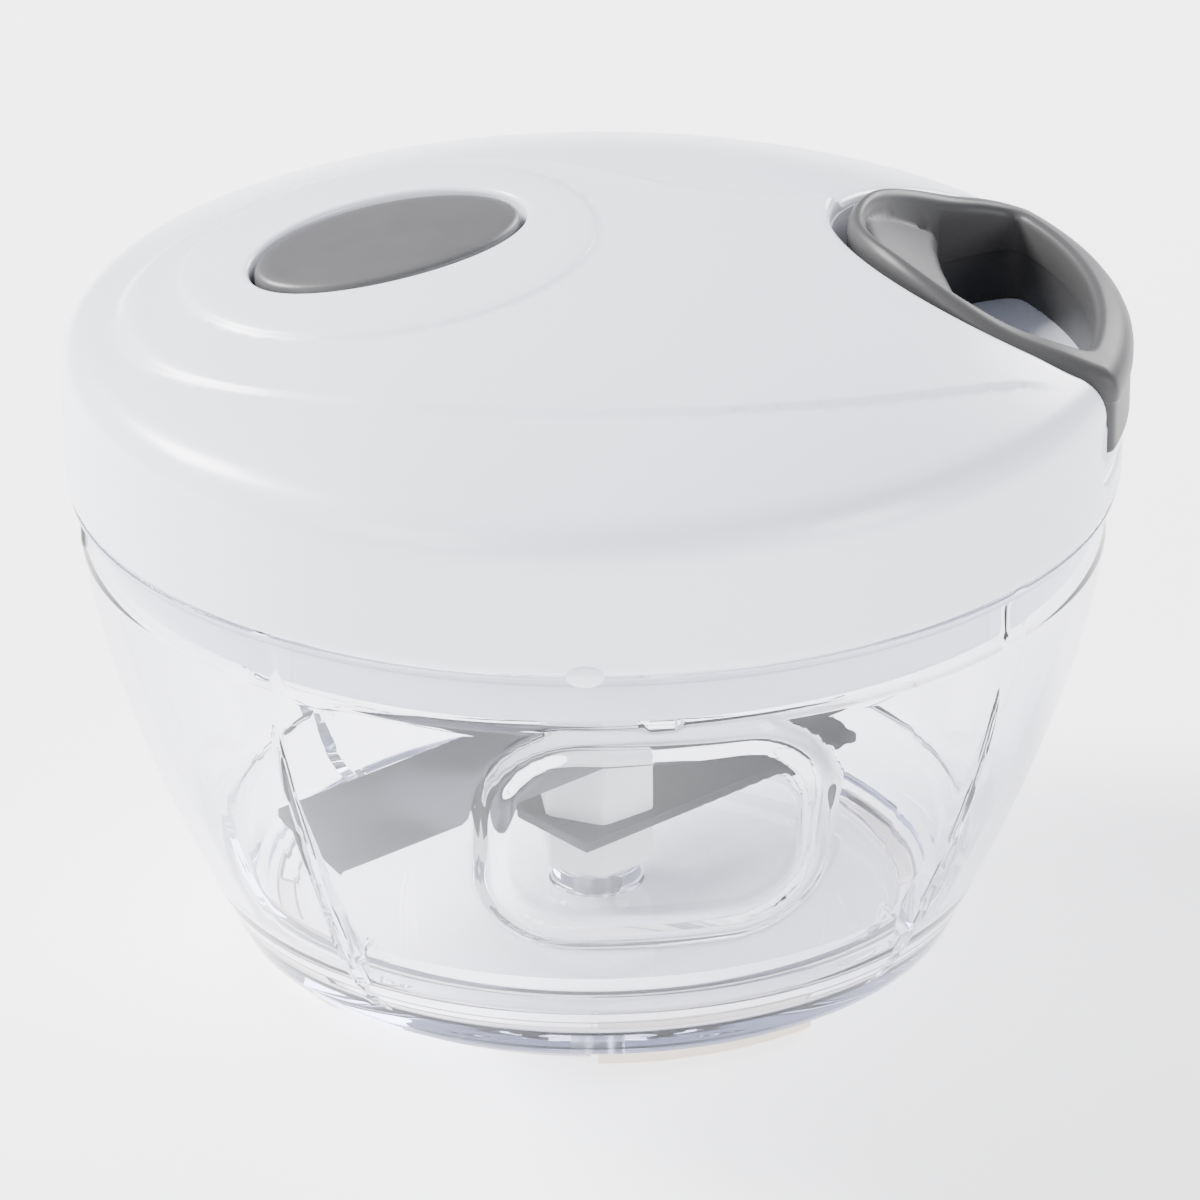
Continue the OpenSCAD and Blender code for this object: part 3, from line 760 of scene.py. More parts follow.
def skirt_mark():
    """Small rounded mark under the skirt's front edge."""
    angle = math.radians(MARK_TURN)
    rings = []
    for r, grow in ((61.9, 1.0), (62.35, 1.0), (62.55, 0.8)):
        ring = []
        for a in np.linspace(0, 2 * math.pi, 24, endpoint=False):
            side, z = 2.1 * grow * math.cos(a), 59.95 + 1.25 * grow * math.sin(a)
            ring.append((r * math.cos(angle) - side * math.sin(angle),
                         r * math.sin(angle) + side * math.cos(angle), z))
        rings.append(ring)
    return loft(rings)


# ---- handle ----

def handle_shape(surface, size):
    """Finger ring: rounded rim that follows the dome, sunk slope at the tip, and a through hole."""
    outer = relax(resample(pocket_loop(0.45, 1.9, 63.3), 0.7), 3)
    wall = size["handle_wall"]
    inner = relax(resample(pocket_loop(wall, 4.0, 63.3 - wall + 0.6), 0.7), 6)
    web_x = 44.0
    ring_parts = [inset(outer, 1.9 * (1 - math.cos(math.radians(a)))) for a in (0, 20, 40, 60, 80, 90)]
    ring_parts += [inset(inner, -1.5 * (1 - math.cos(math.radians(a)))) for a in (0, 25, 50, 75, 90)]
    hole_loop = opened_loop(inner, web_x)
    ring_parts.append(hole_loop)
    spacing = 0.5
    xs, ys = np.meshgrid(np.arange(30, 64, spacing), np.arange(-28, 28, spacing))
    grid = np.stack([xs.ravel(), ys.ravel()], 1)
    grid = grid[(depth_inside(grid, outer) > 0.4) & (depth_inside(grid, hole_loop) < -0.3)]
    flat, faces = triangulate(
        ring_parts, grid, lambda m: (depth_inside(m, outer) > 0) & (depth_inside(m, hole_loop) < 0))
    r = np.hypot(flat[:, 0], flat[:, 1])
    top = surface.dome(np.minimum(r, 64)) + size["handle_proud"]
    top = top + 0.7 * np.exp(-((flat[:, 0] - 34) / 4.5) ** 2) - 0.7 * np.exp(-((flat[:, 0] - 46) / 5) ** 2)
    d_out, d_in = depth_inside(flat, outer), depth_inside(flat, inner)
    rim = top - round_edge(d_out, 1.9) - round_edge(np.maximum(-d_in, 0), 1.5) * (d_in <= 1e-3)
    fall = np.clip((flat[:, 0] - 32.0) / (web_x - 32.0), 0, 1)
    slope = top - 0.9 - 3.6 * fall ** 0.8
    sunk = smooth(d_in / 1.0)
    lip = np.maximum(-depth_inside(flat, hole_loop), 0)
    dish = (top - 1.5) * (1 - sunk) + np.minimum(slope, top - 1.5) * sunk - round_edge(lip, 0.8) * sunk
    z = np.where(d_in > 0.02, dish, rim)
    return solid_over(flat, faces, z, TRAY_TOP_Z + 0.06)


def opened_loop(inner, web_x):
    """The part of the inner outline in front of the web, closed along the web's edge."""
    start = int(np.argmin(inner[:, 0]))
    loop = np.roll(inner, -start, axis=0)
    ahead = loop[loop[:, 0] > web_x]
    first, last = ahead[0], ahead[-1]
    across = [first + (last - first) * t - np.array([9.6 * t * (1 - t), 0]) for t in np.linspace(1, 0, 44)[1:-1]]
    return anticlockwise(np.vstack([ahead, across]))


def solid_over(flat, faces, z, low):
    """Closes a height field down to a flat underside, with a mould line and a slightly set-back lower part."""
    border = border_edges(faces)
    on_edge = sorted({i for e in border for i in e})
    along = {}
    for a, b in border:
        d = flat[b] - flat[a]
        normal = np.array([d[1], -d[0]]) / max(np.linalg.norm(d), 1e-9)
        for i in (a, b):
            along[i] = along.get(i, 0) + normal
    levels = [(74.25, 0.0), (74.1, 0.12), (73.95, 0.28), (low + 0.5, 0.30), (low, 0.55)]
    verts = [(x, y, h) for (x, y), h in zip(flat, z)]
    rows = {i: [i] for i in on_edge}
    edge_tree = kdtree.KDTree(len(on_edge))
    for i in on_edge:
        along[i] = along[i] / max(np.linalg.norm(along[i]), 1e-9)
        edge_tree.insert((*flat[i], 0), i)
        for level, back in levels:
            x, y = flat[i] - along[i] * back
            rows[i].append(len(verts))
            verts.append((x, y, min(level, z[i] - 0.05)))
    edge_tree.balance()
    sides = []
    for a, b in border:
        for k in range(len(levels)):
            sides.append((rows[b][k], rows[a][k], rows[a][k + 1], rows[b][k + 1]))
    under = {}
    for i in range(len(flat)):
        if i in rows:
            under[i] = rows[i][-1]
            continue
        _, near, away = edge_tree.find((*flat[i], 0))
        x, y = flat[i] - along[near] * levels[-1][1] * max(0, 1 - away / 2.2)
        under[i] = len(verts)
        verts.append((x, y, low))
    bottom = [(under[c], under[b], under[a]) for a, b, c in faces]
    return verts, [tuple(f) for f in faces] + sides + bottom


# ---- bowl ----

def side_curve(inward, steps):
    """Bowl side as (radius, height) points, moved inwards."""
    out = []
    for k in range(steps + 1):
        t = k / steps
        out.append((43.6 * (1 - t) ** 2 + 58.2 * 2 * t * (1 - t) + 60.6 * t * t - inward,
                    3 * (1 - t) ** 2 + 32.3 * 2 * t * (1 - t) + 51.9 * t * t))
    return out


def bowl_section(size):
    """Closed section of the bowl, from the middle of its underside round to the middle of its floor."""
    wall = size["bowl_wall"]
    under = [(0, 2.62), (20, 2.62), (36.6, 2.62)] + arc((36.9, 2.1), 0.5, 90, 20, 3)
    foot = [(37.5, 1.2), (37.5, 0.9)] + arc((37.9, 1.0), 0.4, 200, 270, 3) + arc((39.6, 1.0), 0.4, 270, 360, 3)
    heel = [(40.0, 1.5)] + arc((41.2, 1.7), 1.2, 180, 110, 3)[1:] + [(42.0, 2.72), (43.1, 2.85)]
    side = side_curve(0, 66)
    collar = [(60.55, 52.3), (BOWL_COLLAR_RADIUS, 52.9)] + \
        [(BOWL_COLLAR_RADIUS, z) for z in np.arange(53.3, 58.3, 0.35)] + \
        [(60.4, 58.35), (60.9, 58.5)] + arc((61.5, 58.85), 0.4, 270, 360, 3) + arc((61.5, 59.05), 0.4, 0, 90, 3)
    neck = [(59.3, 59.45), (58.95, 59.7), (58.9, 62), (58.9, 64.6)] + arc((58.5, 64.6), 0.4, 0, 90, 3) + \
        arc((57.6, 64.6), 0.4, 90, 180, 3) + [(57.2, 62), (57.2, 60.2), (57.6, 57), (58.1, 53)]
    inside = [p for p in side_curve(wall, 30)[::-1] if p[1] > 12]
    bottom = arc((34.2, BOWL_FLOOR_Z + 10.2), 10.2, -6, -90, 12)
    floor = [(30, BOWL_FLOOR_Z), (20, BOWL_FLOOR_Z), (6.2, BOWL_FLOOR_Z)] + \
        arc((6.2, BOWL_FLOOR_Z + 0.8), 0.8, 270, 200, 3)[1:] + \
        [(5.3, 6.4)] + arc((4.9, 6.6), 0.4, 0, 90, 3) + [(2.2, 7.0), (0, 7.0)]
    marks = {}
    section = []
    for name, part in (("under", under), ("foot", foot), ("heel", heel), ("side", side), ("collar", collar),
                       ("neck", neck), ("inside", inside), ("bottom", bottom), ("floor", floor)):
        marks[name] = (len(section), len(section) + len(part))
        section += part
    return section, marks


def bowl_columns():
    """Angles round the bowl, closer together where the lugs, ribs, frames and notches are."""
    angles = set(np.round(np.arange(0, 360, 1.6), 3))
    for k in range(8):
        angles |= set(np.round(np.arange(45 * k - 2.8, 45 * k + 2.81, 0.35), 3) % 360)
    for face in (90, 270):
        angles |= set(np.round(np.arange(face - 22, face + 22.1, 0.75), 3) % 360)
    for k in range(4):
        for side in (0, 40):
            edge = MARK_TURN + 90 * k + side
            angles |= set(np.round([edge - 0.8, edge - 0.3, edge, edge + 0.3, edge + 0.8], 3) % 360)
    ordered = sorted(angles)
    return [a for i, a in enumerate(ordered) if i == 0 or a - ordered[i - 1] > 0.12]


def frame_distance(x, z, width=37.0, height=27.5, corner=9.5, middle=36.8):
    """Distance to the centre line of the raised frame on the bowl's face."""
    qx = np.abs(x) - (width / 2 - corner)
    qz = np.abs(z - middle) - (height / 2 - corner)
    outside = np.hypot(np.maximum(qx, 0), np.maximum(qz, 0)) + np.minimum(np.maximum(qx, qz), 0)
    return outside - corner


def bowl_shape(size):
    """Clear bowl with foot notches, raised frames, lugs round the collar and pointed ribs inside."""
    section, marks = bowl_section(size)
    angles = np.radians(np.array(bowl_columns()))
    r = np.array([p[0] for p in section])[:, None] * np.ones(len(angles))
    z = np.array([p[1] for p in section])[:, None] * np.ones(len(angles))
    turn = np.ones(len(section))[:, None] * angles
    rows = {name: slice(*span) for name, span in marks.items()}

    lateral = r * np.cos(turn)
    facing = np.abs(np.sin(turn)) > 0.9
    d = frame_distance(lateral, z)
    stroke = size["bead_stroke"] / 2
    bead = size["bead_height"] * np.cos(np.clip(np.abs(d) / stroke, 0, 1) * math.pi / 2) ** 1.3
    side_only = np.zeros_like(r)
    side_only[rows["side"]] = 1
    r += bead * facing * side_only

    step = LUG_SPACING
    off = (turn + step / 2) % step - step / 2
    across = off * BOWL_COLLAR_RADIUS
    arch = np.where(z < 56.6, np.abs(across) - 1.9, np.hypot(across, z - 56.6) - 1.9)
    lug = smooth(0.5 - arch / 1.0) * smooth((z - 52.2) / 0.5)
    collar_only = np.zeros_like(r)
    collar_only[rows["collar"]] = 1
    r += 0.5 * lug * collar_only * (z < 58.4)

    odd = (np.round(turn / step).astype(int) % 2) == 1
    inner_only = np.zeros_like(r)
    inner_only[rows["inside"]] = 1
    inner_only[rows["bottom"]] = 1
    climb = np.clip((46 - z) / 40, 0, 1)
    rib = 3.0 * climb ** 0.8 * smooth((1.25 * (0.35 + 0.65 * climb) - np.abs(off * r)) / 0.45)
    r -= rib * inner_only * odd * (z > BOWL_FLOOR_Z + 0.4)

    notch = (np.degrees(turn) - MARK_TURN) % 90
    in_notch = smooth(np.minimum(notch, 40 - notch) / 0.5 + 0.5) * (notch < 60)
    foot_only = np.zeros_like(r)
    foot_only[rows["foot"]] = 1
    z = np.where(foot_only > 0, z + (np.maximum(2.0, z) - z) * in_notch, z)

    verts, index = [], np.zeros(r.shape, int)
    for i in range(r.shape[0]):
        if section[i][0] < 1e-6:
            index[i] = len(verts)
            verts.append((0, 0, float(z[i, 0])))
            continue
        index[i] = np.arange(len(verts), len(verts) + r.shape[1])
        verts += list(zip(r[i] * np.cos(turn[i]), r[i] * np.sin(turn[i]), z[i]))
    faces = []
    wide = r.shape[1]
    for i in range(r.shape[0] - 1):
        a, b = index[i], index[i + 1]
        for k in range(wide):
            n = (k + 1) % wide
            face = list(dict.fromkeys((a[k], a[n], b[n], b[k])))
            if len(face) > 2:
                faces.append(face)
    return verts, faces


# ---- blades ----

def blade_shape(reach, height, angle, size):
    """Flat plate with a straight back, a ground cutting edge and an oblique tip."""
    t = size["blade_thickness"]
    slant = 3.6
    reaches = np.concatenate([np.linspace(-8.8, reach - slant, 30),
                              np.linspace(reach - slant + 0.1, reach - 0.05, 12)])
    rings = []
    for x in reaches:
        front = 8.4
        back = -8.5 + max(x - (reach - slant), 0) / slant * (front + 7.9)
        ground = min(2.8, (front - back) * 0.4)
        section = [(back, -t / 2 + 0.12), (back + 0.15, -t / 2), (front - ground, -t / 2), (front, -0.05),
                   (front, 0.05), (front - ground, t / 2), (back + 0.15, t / 2), (back, t / 2 - 0.12)]
        ring = []
        for y, z in section:
            ring.append((x * math.cos(angle) - y * math.sin(angle),
                         x * math.sin(angle) + y * math.cos(angle), height + z))
        rings.append(ring)
    return loft(rings)


def shaft_shape():
    """Hexagonal shaft with rounded edges, narrower above the blades, and a flat tang on top."""
    rings = []
    hexagon = [(7.5 * math.cos(math.radians(60 * k + 30)), 7.5 * math.sin(math.radians(60 * k + 30)), 1.3)
               for k in range(6)]
    outline = np.array(rounded(hexagon, 4))
    levels = [(8.0, 0.93), (8.5, 1.0), (22.8, 1.0), (26.0, 1.0), (27.2, 0.94), (40, 0.92), (54.6, 0.90), (55.4, 0.88),
              (55.6, 0.84)]
    for z, grow in levels:
        rings.append([(x * grow, y * grow, z) for x, y in outline])
    body = loft(rings)
    tang = rounded([(-5.1, -2.2, 0.6), (5.1, -2.2, 0.6), (5.1, 2.2, 0.6), (-5.1, 2.2, 0.6)], 4)
    top = loft([[(x, y, 55.3) for x, y in tang], [(x, y, 63.5) for x, y in tang],
                [(x * 0.93, y * 0.85, 64.0) for x, y in tang]])
    return joined(body, top)


# ---- geometry nodes ----

def node_group(name, inputs):
    """An empty geometry tree with named inputs."""
    tree = bpy.data.node_groups.new(name, "GeometryNodeTree")
    tree.interface.new_socket("Geometry", in_out="INPUT", socket_type="NodeSocketGeometry")
    for label, kind, value in inputs:
        made = tree.interface.new_socket(label, in_out="INPUT", socket_type=kind)
        if value is not None:
            made.default_value = value
    tree.interface.new_socket("Geometry", in_out="OUTPUT", socket_type="NodeSocketGeometry")
    return tree, tree.nodes.new("NodeGroupInput"), tree.nodes.new("NodeGroupOutput")


def coil_tree():
    """Wire wound in a helix: radius, rise, turns and wire size are inputs."""
    tree, given, out = node_group("wound_wire", [
        ("Radius", "NodeSocketFloat", 0.004), ("Rise", "NodeSocketFloat", 0.006), ("Turns", "NodeSocketFloat", 4.0),
        ("Wire", "NodeSocketFloat", 0.0004), ("Place", "NodeSocketVector", (0.0, 0.0, 0.0)),
        ("Lean", "NodeSocketVector", (0.0, 0.0, 0.0)), ("Material", "NodeSocketMaterial", None)])
    spiral = add_node(tree, "GeometryNodeCurveSpiral", Resolution=48)
    circle = add_node(tree, "GeometryNodeCurvePrimitiveCircle", Resolution=12)
    sweep = add_node(tree, "GeometryNodeCurveToMesh")
    sweep.inputs["Fill Caps"].default_value = True
    move = add_node(tree, "GeometryNodeTransform")
    shade = add_node(tree, "GeometryNodeSetShadeSmooth")
    realize = add_node(tree, "GeometryNodeRealizeInstances")
    paint = add_node(tree, "GeometryNodeSetMaterial")
    wire_up(tree, (given, "Turns", spiral, "Rotations"), (given, "Radius", spiral, "Start Radius"),
            (given, "Radius", spiral, "End Radius"), (given, "Rise", spiral, "Height"),
            (given, "Wire", circle, "Radius"), (spiral, "Curve", sweep, "Curve"),
            (circle, "Curve", sweep, "Profile Curve"), (sweep, "Mesh", move, "Geometry"),
            (given, "Place", move, "Translation"), (given, "Lean", move, "Rotation"),
            (move, "Geometry", shade, "Geometry"), (shade, "Geometry", realize, "Geometry"),
            (realize, "Geometry", paint, "Geometry"), (given, "Material", paint, "Material"),
            (paint, "Geometry", out, "Geometry"))
    return tree


def ring_tree():
    """One shape instanced on the chosen points of a circle, turned outwards."""
    tree, given, out = node_group("ring_of_shapes", [
        ("Shape", "NodeSocketObject", None), ("Count", "NodeSocketInt", 6), ("Radius", "NodeSocketFloat", 0.047),
        ("Height", "NodeSocketFloat", 0.0), ("Skip", "NodeSocketInt", 3), ("Material", "NodeSocketMaterial", None)])
    circle = add_node(tree, "GeometryNodeMeshCircle")
    number = add_node(tree, "GeometryNodeInputIndex")
    rest = add_node(tree, "FunctionNodeIntegerMath", operation="MODULO")
    kept = add_node(tree, "FunctionNodeCompare", data_type="INT", operation="NOT_EQUAL")
    info = add_node(tree, "GeometryNodeObjectInfo")
    place = add_node(tree, "GeometryNodeInstanceOnPoints")
    lift = add_node(tree, "GeometryNodeTransform")
    height = add_node(tree, "ShaderNodeCombineXYZ")
    realize = add_node(tree, "GeometryNodeRealizeInstances")
    paint = add_node(tree, "GeometryNodeSetMaterial")
    kept.inputs[3].default_value = 0
    wire_up(tree, (given, "Count", circle, "Vertices"), (given, "Radius", circle, "Radius"),
            (number, "Index", rest, 0), (given, "Skip", rest, 1), (rest, 0, kept, 2),
            (given, "Shape", info, "Object"), (circle, "Mesh", place, "Points"), (kept, 0, place, "Selection"),
            (info, "Geometry", place, "Instance"), (given, "Height", height, "Z"),
            (place, "Instances", lift, "Geometry"), (height, "Vector", lift, "Translation"),
            (lift, "Geometry", realize, "Geometry"), (realize, "Geometry", paint, "Geometry"),
            (given, "Material", paint, "Material"), (paint, "Geometry", out, "Geometry"))
    return tree


def grown(name, tree, values, body, replaces=()):
    """Runs a geometry tree and keeps its result as a plain mesh piece."""
    holder = bpy.data.objects.new(name + "_source", bpy.data.meshes.new(name + "_source"))
    bpy.context.scene.collection.objects.link(holder)
    modifier = holder.modifiers.new("Shape", "NODES")
    modifier.node_group = tree
    names = {item.name: item.identifier for item in tree.interface.items_tree if item.in_out == "INPUT"}
    for label, value in values.items():
        modifier[names[label]] = value
    bpy.context.view_layer.update()
    made_from = holder.evaluated_get(bpy.context.evaluated_depsgraph_get())
    mesh = bpy.data.meshes.new_from_object(made_from)
    mesh.name = name
    holder.modifiers.clear()
    bpy.data.objects.remove(holder)
    if not mesh.materials:
        mesh.materials.append(values["Material"])
    return placed(name, mesh, body, replaces)


# ---- operators: one for each piece or group of like pieces ----

class ChopperOperator:
    """Shared options of the building steps."""
    bl_options = {"REGISTER", "UNDO"}


class CHOPPER_OT_stage(ChopperOperator, bpy.types.Operator):
    """Camera, pale floor and soft studio light"""
    bl_idname = "chopper.stage"
    bl_label = "Stage"

    def execute(self, context):
        scene = context.scene
        camera_data = bpy.data.cameras.new("camera")
        camera = bpy.data.objects.new("camera", camera_data)
        scene.collection.objects.link(camera)
        turn, tilt, far = math.radians(-7), math.radians(23.34), 0.83198
        back = Vector((math.sin(turn) * math.cos(tilt), -math.cos(turn) * math.cos(tilt), math.sin(tilt)))
        right = Vector((math.cos(turn), math.sin(turn), 0))
        up = back.cross(right)
        aim = Vector((0, 0, 0.0594)) + right * 0.00065 - up * 0.01681
        camera.location = Vector((0, 0, 0.0594)) + back * far
        look = (camera.location - aim).to_track_quat("Z", "Y")
        camera.rotation_mode = "QUATERNION"
        camera.rotation_quaternion = look @ Quaternion((0, 0, 1), math.radians(-0.44))
        camera_data.sensor_width = 36.0
        camera_data.lens = 211.3
        scene.camera = camera
        self.floor(scene)
        self.lights(scene)
        return {"FINISHED"}

    def floor(self, scene):
        mesh = bpy.data.meshes.new("floor")
        half, low = 4, -0.0002
        corners = [(-half, -half, low), (half, -half, low), (half, half, low), (-half, half, low)]
        mesh.from_pydata(corners, [], [(0, 1, 2, 3)])
        floor = bpy.data.objects.new("floor", mesh)
        scene.collection.objects.link(floor)
        mesh.materials.append(finish("pale_floor", (0.95, 0.95, 0.95), 0.8, 0.02, 60, 0.00001, 0.004,
                                     Emission_Color=(1, 1, 1, 1), Emission_Strength=1.25))

    def lights(self, scene):
        world = bpy.data.worlds.new("studio")
        scene.world = world
        world.use_nodes = True
        world.node_tree.nodes["Background"].inputs["Color"].default_value = (0.76, 0.80, 1.0, 1)
        world.node_tree.nodes["Background"].inputs["Strength"].default_value = 0.6
        for name, place, aim, size, power in (
                ("main", (-0.95, 0.6, 1.05), (0, 0, 0.05), 0.5, 74),
                ("front_left", (-1.05, -0.9, 0.75), (0, 0, 0.05), 0.8, 17),
                ("front_right", (1.1, -0.9, 0.55), (0, 0, 0.04), 0.6, 15),
                ("back_right", (0.9, 1.0, 0.65), (0, 0, 0.04), 0.5, 24)):
            data = bpy.data.lights.new(name, "AREA")
            data.shape = "SQUARE"
            data.size = size
            data.energy = power
            lamp = bpy.data.objects.new(name, data)
            scene.collection.objects.link(lamp)
            lamp.location = place
            lamp.rotation_mode = "QUATERNION"
            lamp.rotation_quaternion = (Vector(place) - Vector(aim)).to_track_quat("Z", "Y")


class CHOPPER_OT_bowl(ChopperOperator, bpy.types.Operator):
    """Clear bowl with its foot, raised frames, lugs and ribs"""
    bl_idname = "chopper.bowl"
    bl_label = "Bowl"

    def execute(self, context):
        make_piece("clear_bowl", bowl_shape(sizes()), clear_plastic(), "bowl", ["bowl"], sharp=60)
        return {"FINISHED"}


class CHOPPER_OT_pad(ChopperOperator, bpy.types.Operator):
    """Non-slip pad under the bowl"""
    bl_idname = "chopper.pad"
    bl_label = "Base pad"

    def execute(self, context):
        grooves = []
        for r in (34.5, 31.0, 27.5, 24.0):
            grooves += [(r + 0.7, 0.0), (r + 0.45, 0.35), (r - 0.45, 0.35), (r - 0.7, 0.0)]
        profile = [(0, 2.58), (36.8, 2.58)] + arc((36.8, 2.1), 0.45, 90, 0, 3) + arc((36.7, 0.6), 0.6, 0, -90, 5) \
            + grooves + [(0, 0)]
        disc = lathe(profile, 192, closed=False)
        tabs = []
        for k in range(4):
            rings = []
            for a in np.radians(np.linspace(-97 + 90 * k, -59 + 90 * k, 24)):
                outline = rounded([(36.9, 0.0, 0), (40.6, 0.0, 0.4), (40.6, 1.85, 0.4), (36.9, 1.85, 0)], 3)
                rings.append([(r * math.cos(a), r * math.sin(a), z) for r, z in outline])
            tabs.append(loft(rings))
        make_piece("non_slip_pad", joined(disc, *tabs), pad_rubber(), "bowl", ["base_pad"], sharp=35)
        return {"FINISHED"}


class CHOPPER_OT_blades(ChopperOperator, bpy.types.Operator):
    """Blade shaft, both blades and the pin that they turn on"""
    bl_idname = "chopper.blades"
    bl_label = "Blades"

    def execute(self, context):
        size = sizes()
        steel = colours()["steel"]
        make_piece("upper_blade_plate", blade_shape(45.5, 24, UPPER_BLADE_TURN, size),
                   blade_steel("ground_blade_steel", steel), "blades", ["upper_blade"], sharp=12)
        # painted reflection: the lower blade uses the steel at a quarter of its brightness, a darker copy standing in
        # for the dark things it mirrors
        make_piece("lower_blade_plate", blade_shape(39, 14.5, UPPER_BLADE_TURN - math.pi, size),
                   blade_steel("painted_dark_blade_steel", [c * 0.25 for c in steel]), "blades",
                   ["lower_blade"], sharp=12)
        make_piece("hexagonal_shaft", shaft_shape(), plain("moulded_white_nylon"), "blades",
                   ["blade_shaft"], sharp=35)
        pin = lathe([(0, 2.8), (2.0, 2.8), (2.0, 35.4), (1.5, 36.0), (0, 36.0)], 48, closed=False)
        make_piece("turned_pin", pin, plain("drawn_steel"), "bowl", ["bowl_pin"], sharp=30)
        return {"FINISHED"}


class CHOPPER_OT_lid(ChopperOperator, bpy.types.Operator):
    """Domed lid with its swirl, plateau, pocket and skirt"""
    bl_idname = "chopper.lid"
    bl_label = "Lid"

    def execute(self, context):
        surface = LidSurface(sizes())
        shape = joined(lid_shell(surface), pocket_walls(surface), skirt_mark())
        make_piece("domed_lid", shape, plain("white_gloss_plastic"), "lid",
                   ["lid_cover"], sharp=50)
        return {"FINISHED"}


class CHOPPER_OT_tray(ChopperOperator, bpy.types.Operator):
    """Floor of the handle pocket and the lip below the handle"""
    bl_idname = "chopper.tray"
    bl_label = "Pocket tray"

    def execute(self, context):
        outline = resample(pocket_loop(-1.5, -1.3, 60.3), 1.2)
        low, high = 66.7, TRAY_TOP_Z
        floor = loft([[(x, y, z) for x, y in outline] for z in (low, high)])
        rings = []
        half = math.asin(27.0 / 62.3)
        for a in np.linspace(-half, half, 60):
            edge = min(1.0, (half - abs(a)) / 0.03)
            bulge = 62.1 + 0.35 * edge
            outline = rounded([(60.2, 63.95, 0), (bulge - 0.6, 63.95, 1.0), (bulge, 66.0, 2.0),
                               (bulge - 0.5, high, 0.8), (60.2, high, 0)], 4)
            rings.append([(r * math.cos(a), r * math.sin(a), z) for r, z in outline])
        make_piece("pocket_tray", joined(floor, loft(rings)), plain("white_gloss_plastic"), "lid",
                   ["handle_tray"],
                   sharp=35)
        return {"FINISHED"}


class CHOPPER_OT_handle(ChopperOperator, bpy.types.Operator):
    """Finger ring"""
    bl_idname = "chopper.handle"
    bl_label = "Pull handle"

    def execute(self, context):
        size = sizes()
        shape = handle_shape(LidSurface(size), size)
        make_piece("finger_ring", shape, plain("grey_gloss_plastic"), "handle", ["pull_handle"], sharp=50)
        return {"FINISHED"}


class CHOPPER_OT_button(ChopperOperator, bpy.types.Operator):
    """Oval press button with a crowned top"""
    bl_idname = "chopper.button"
    bl_label = "Press button"

    def execute(self, context):
        surface = LidSurface(sizes())
        middle = float(surface.dome(-BUTTON_X))
        centre = np.array([BUTTON_X, BUTTON_Y])
        skirt = -3.35
        rows = [(oval_loop(grow, 120), level, level + 0.3)
                for level, grow in ((skirt, 0.0), (0.1, 0.0), (0.55, -0.08), (0.85, -0.35), (0.98, -0.75))]
        rows += [((oval_loop(-0.75, 120) - centre) * t + centre, None, 1.35) for t in np.linspace(0.93, 0.08, 12)]
        made = []
        for flat, level, rise in rows:
            ring = []
            for x, y in flat:
                reach = math.hypot(x - BUTTON_X, y - BUTTON_Y)
                crown = skirt if level == skirt else rise - reach ** 2 / BUTTON_CROWN
                ring.append((x, y, middle + crown + math.tan(BUTTON_LEAN) * (x - BUTTON_X)))
            made.append(ring)
        make_piece("oval_button", loft(made), plain("grey_satin_plastic"), "button",
                   ["press_button"], sharp=40)
        return {"FINISHED"}


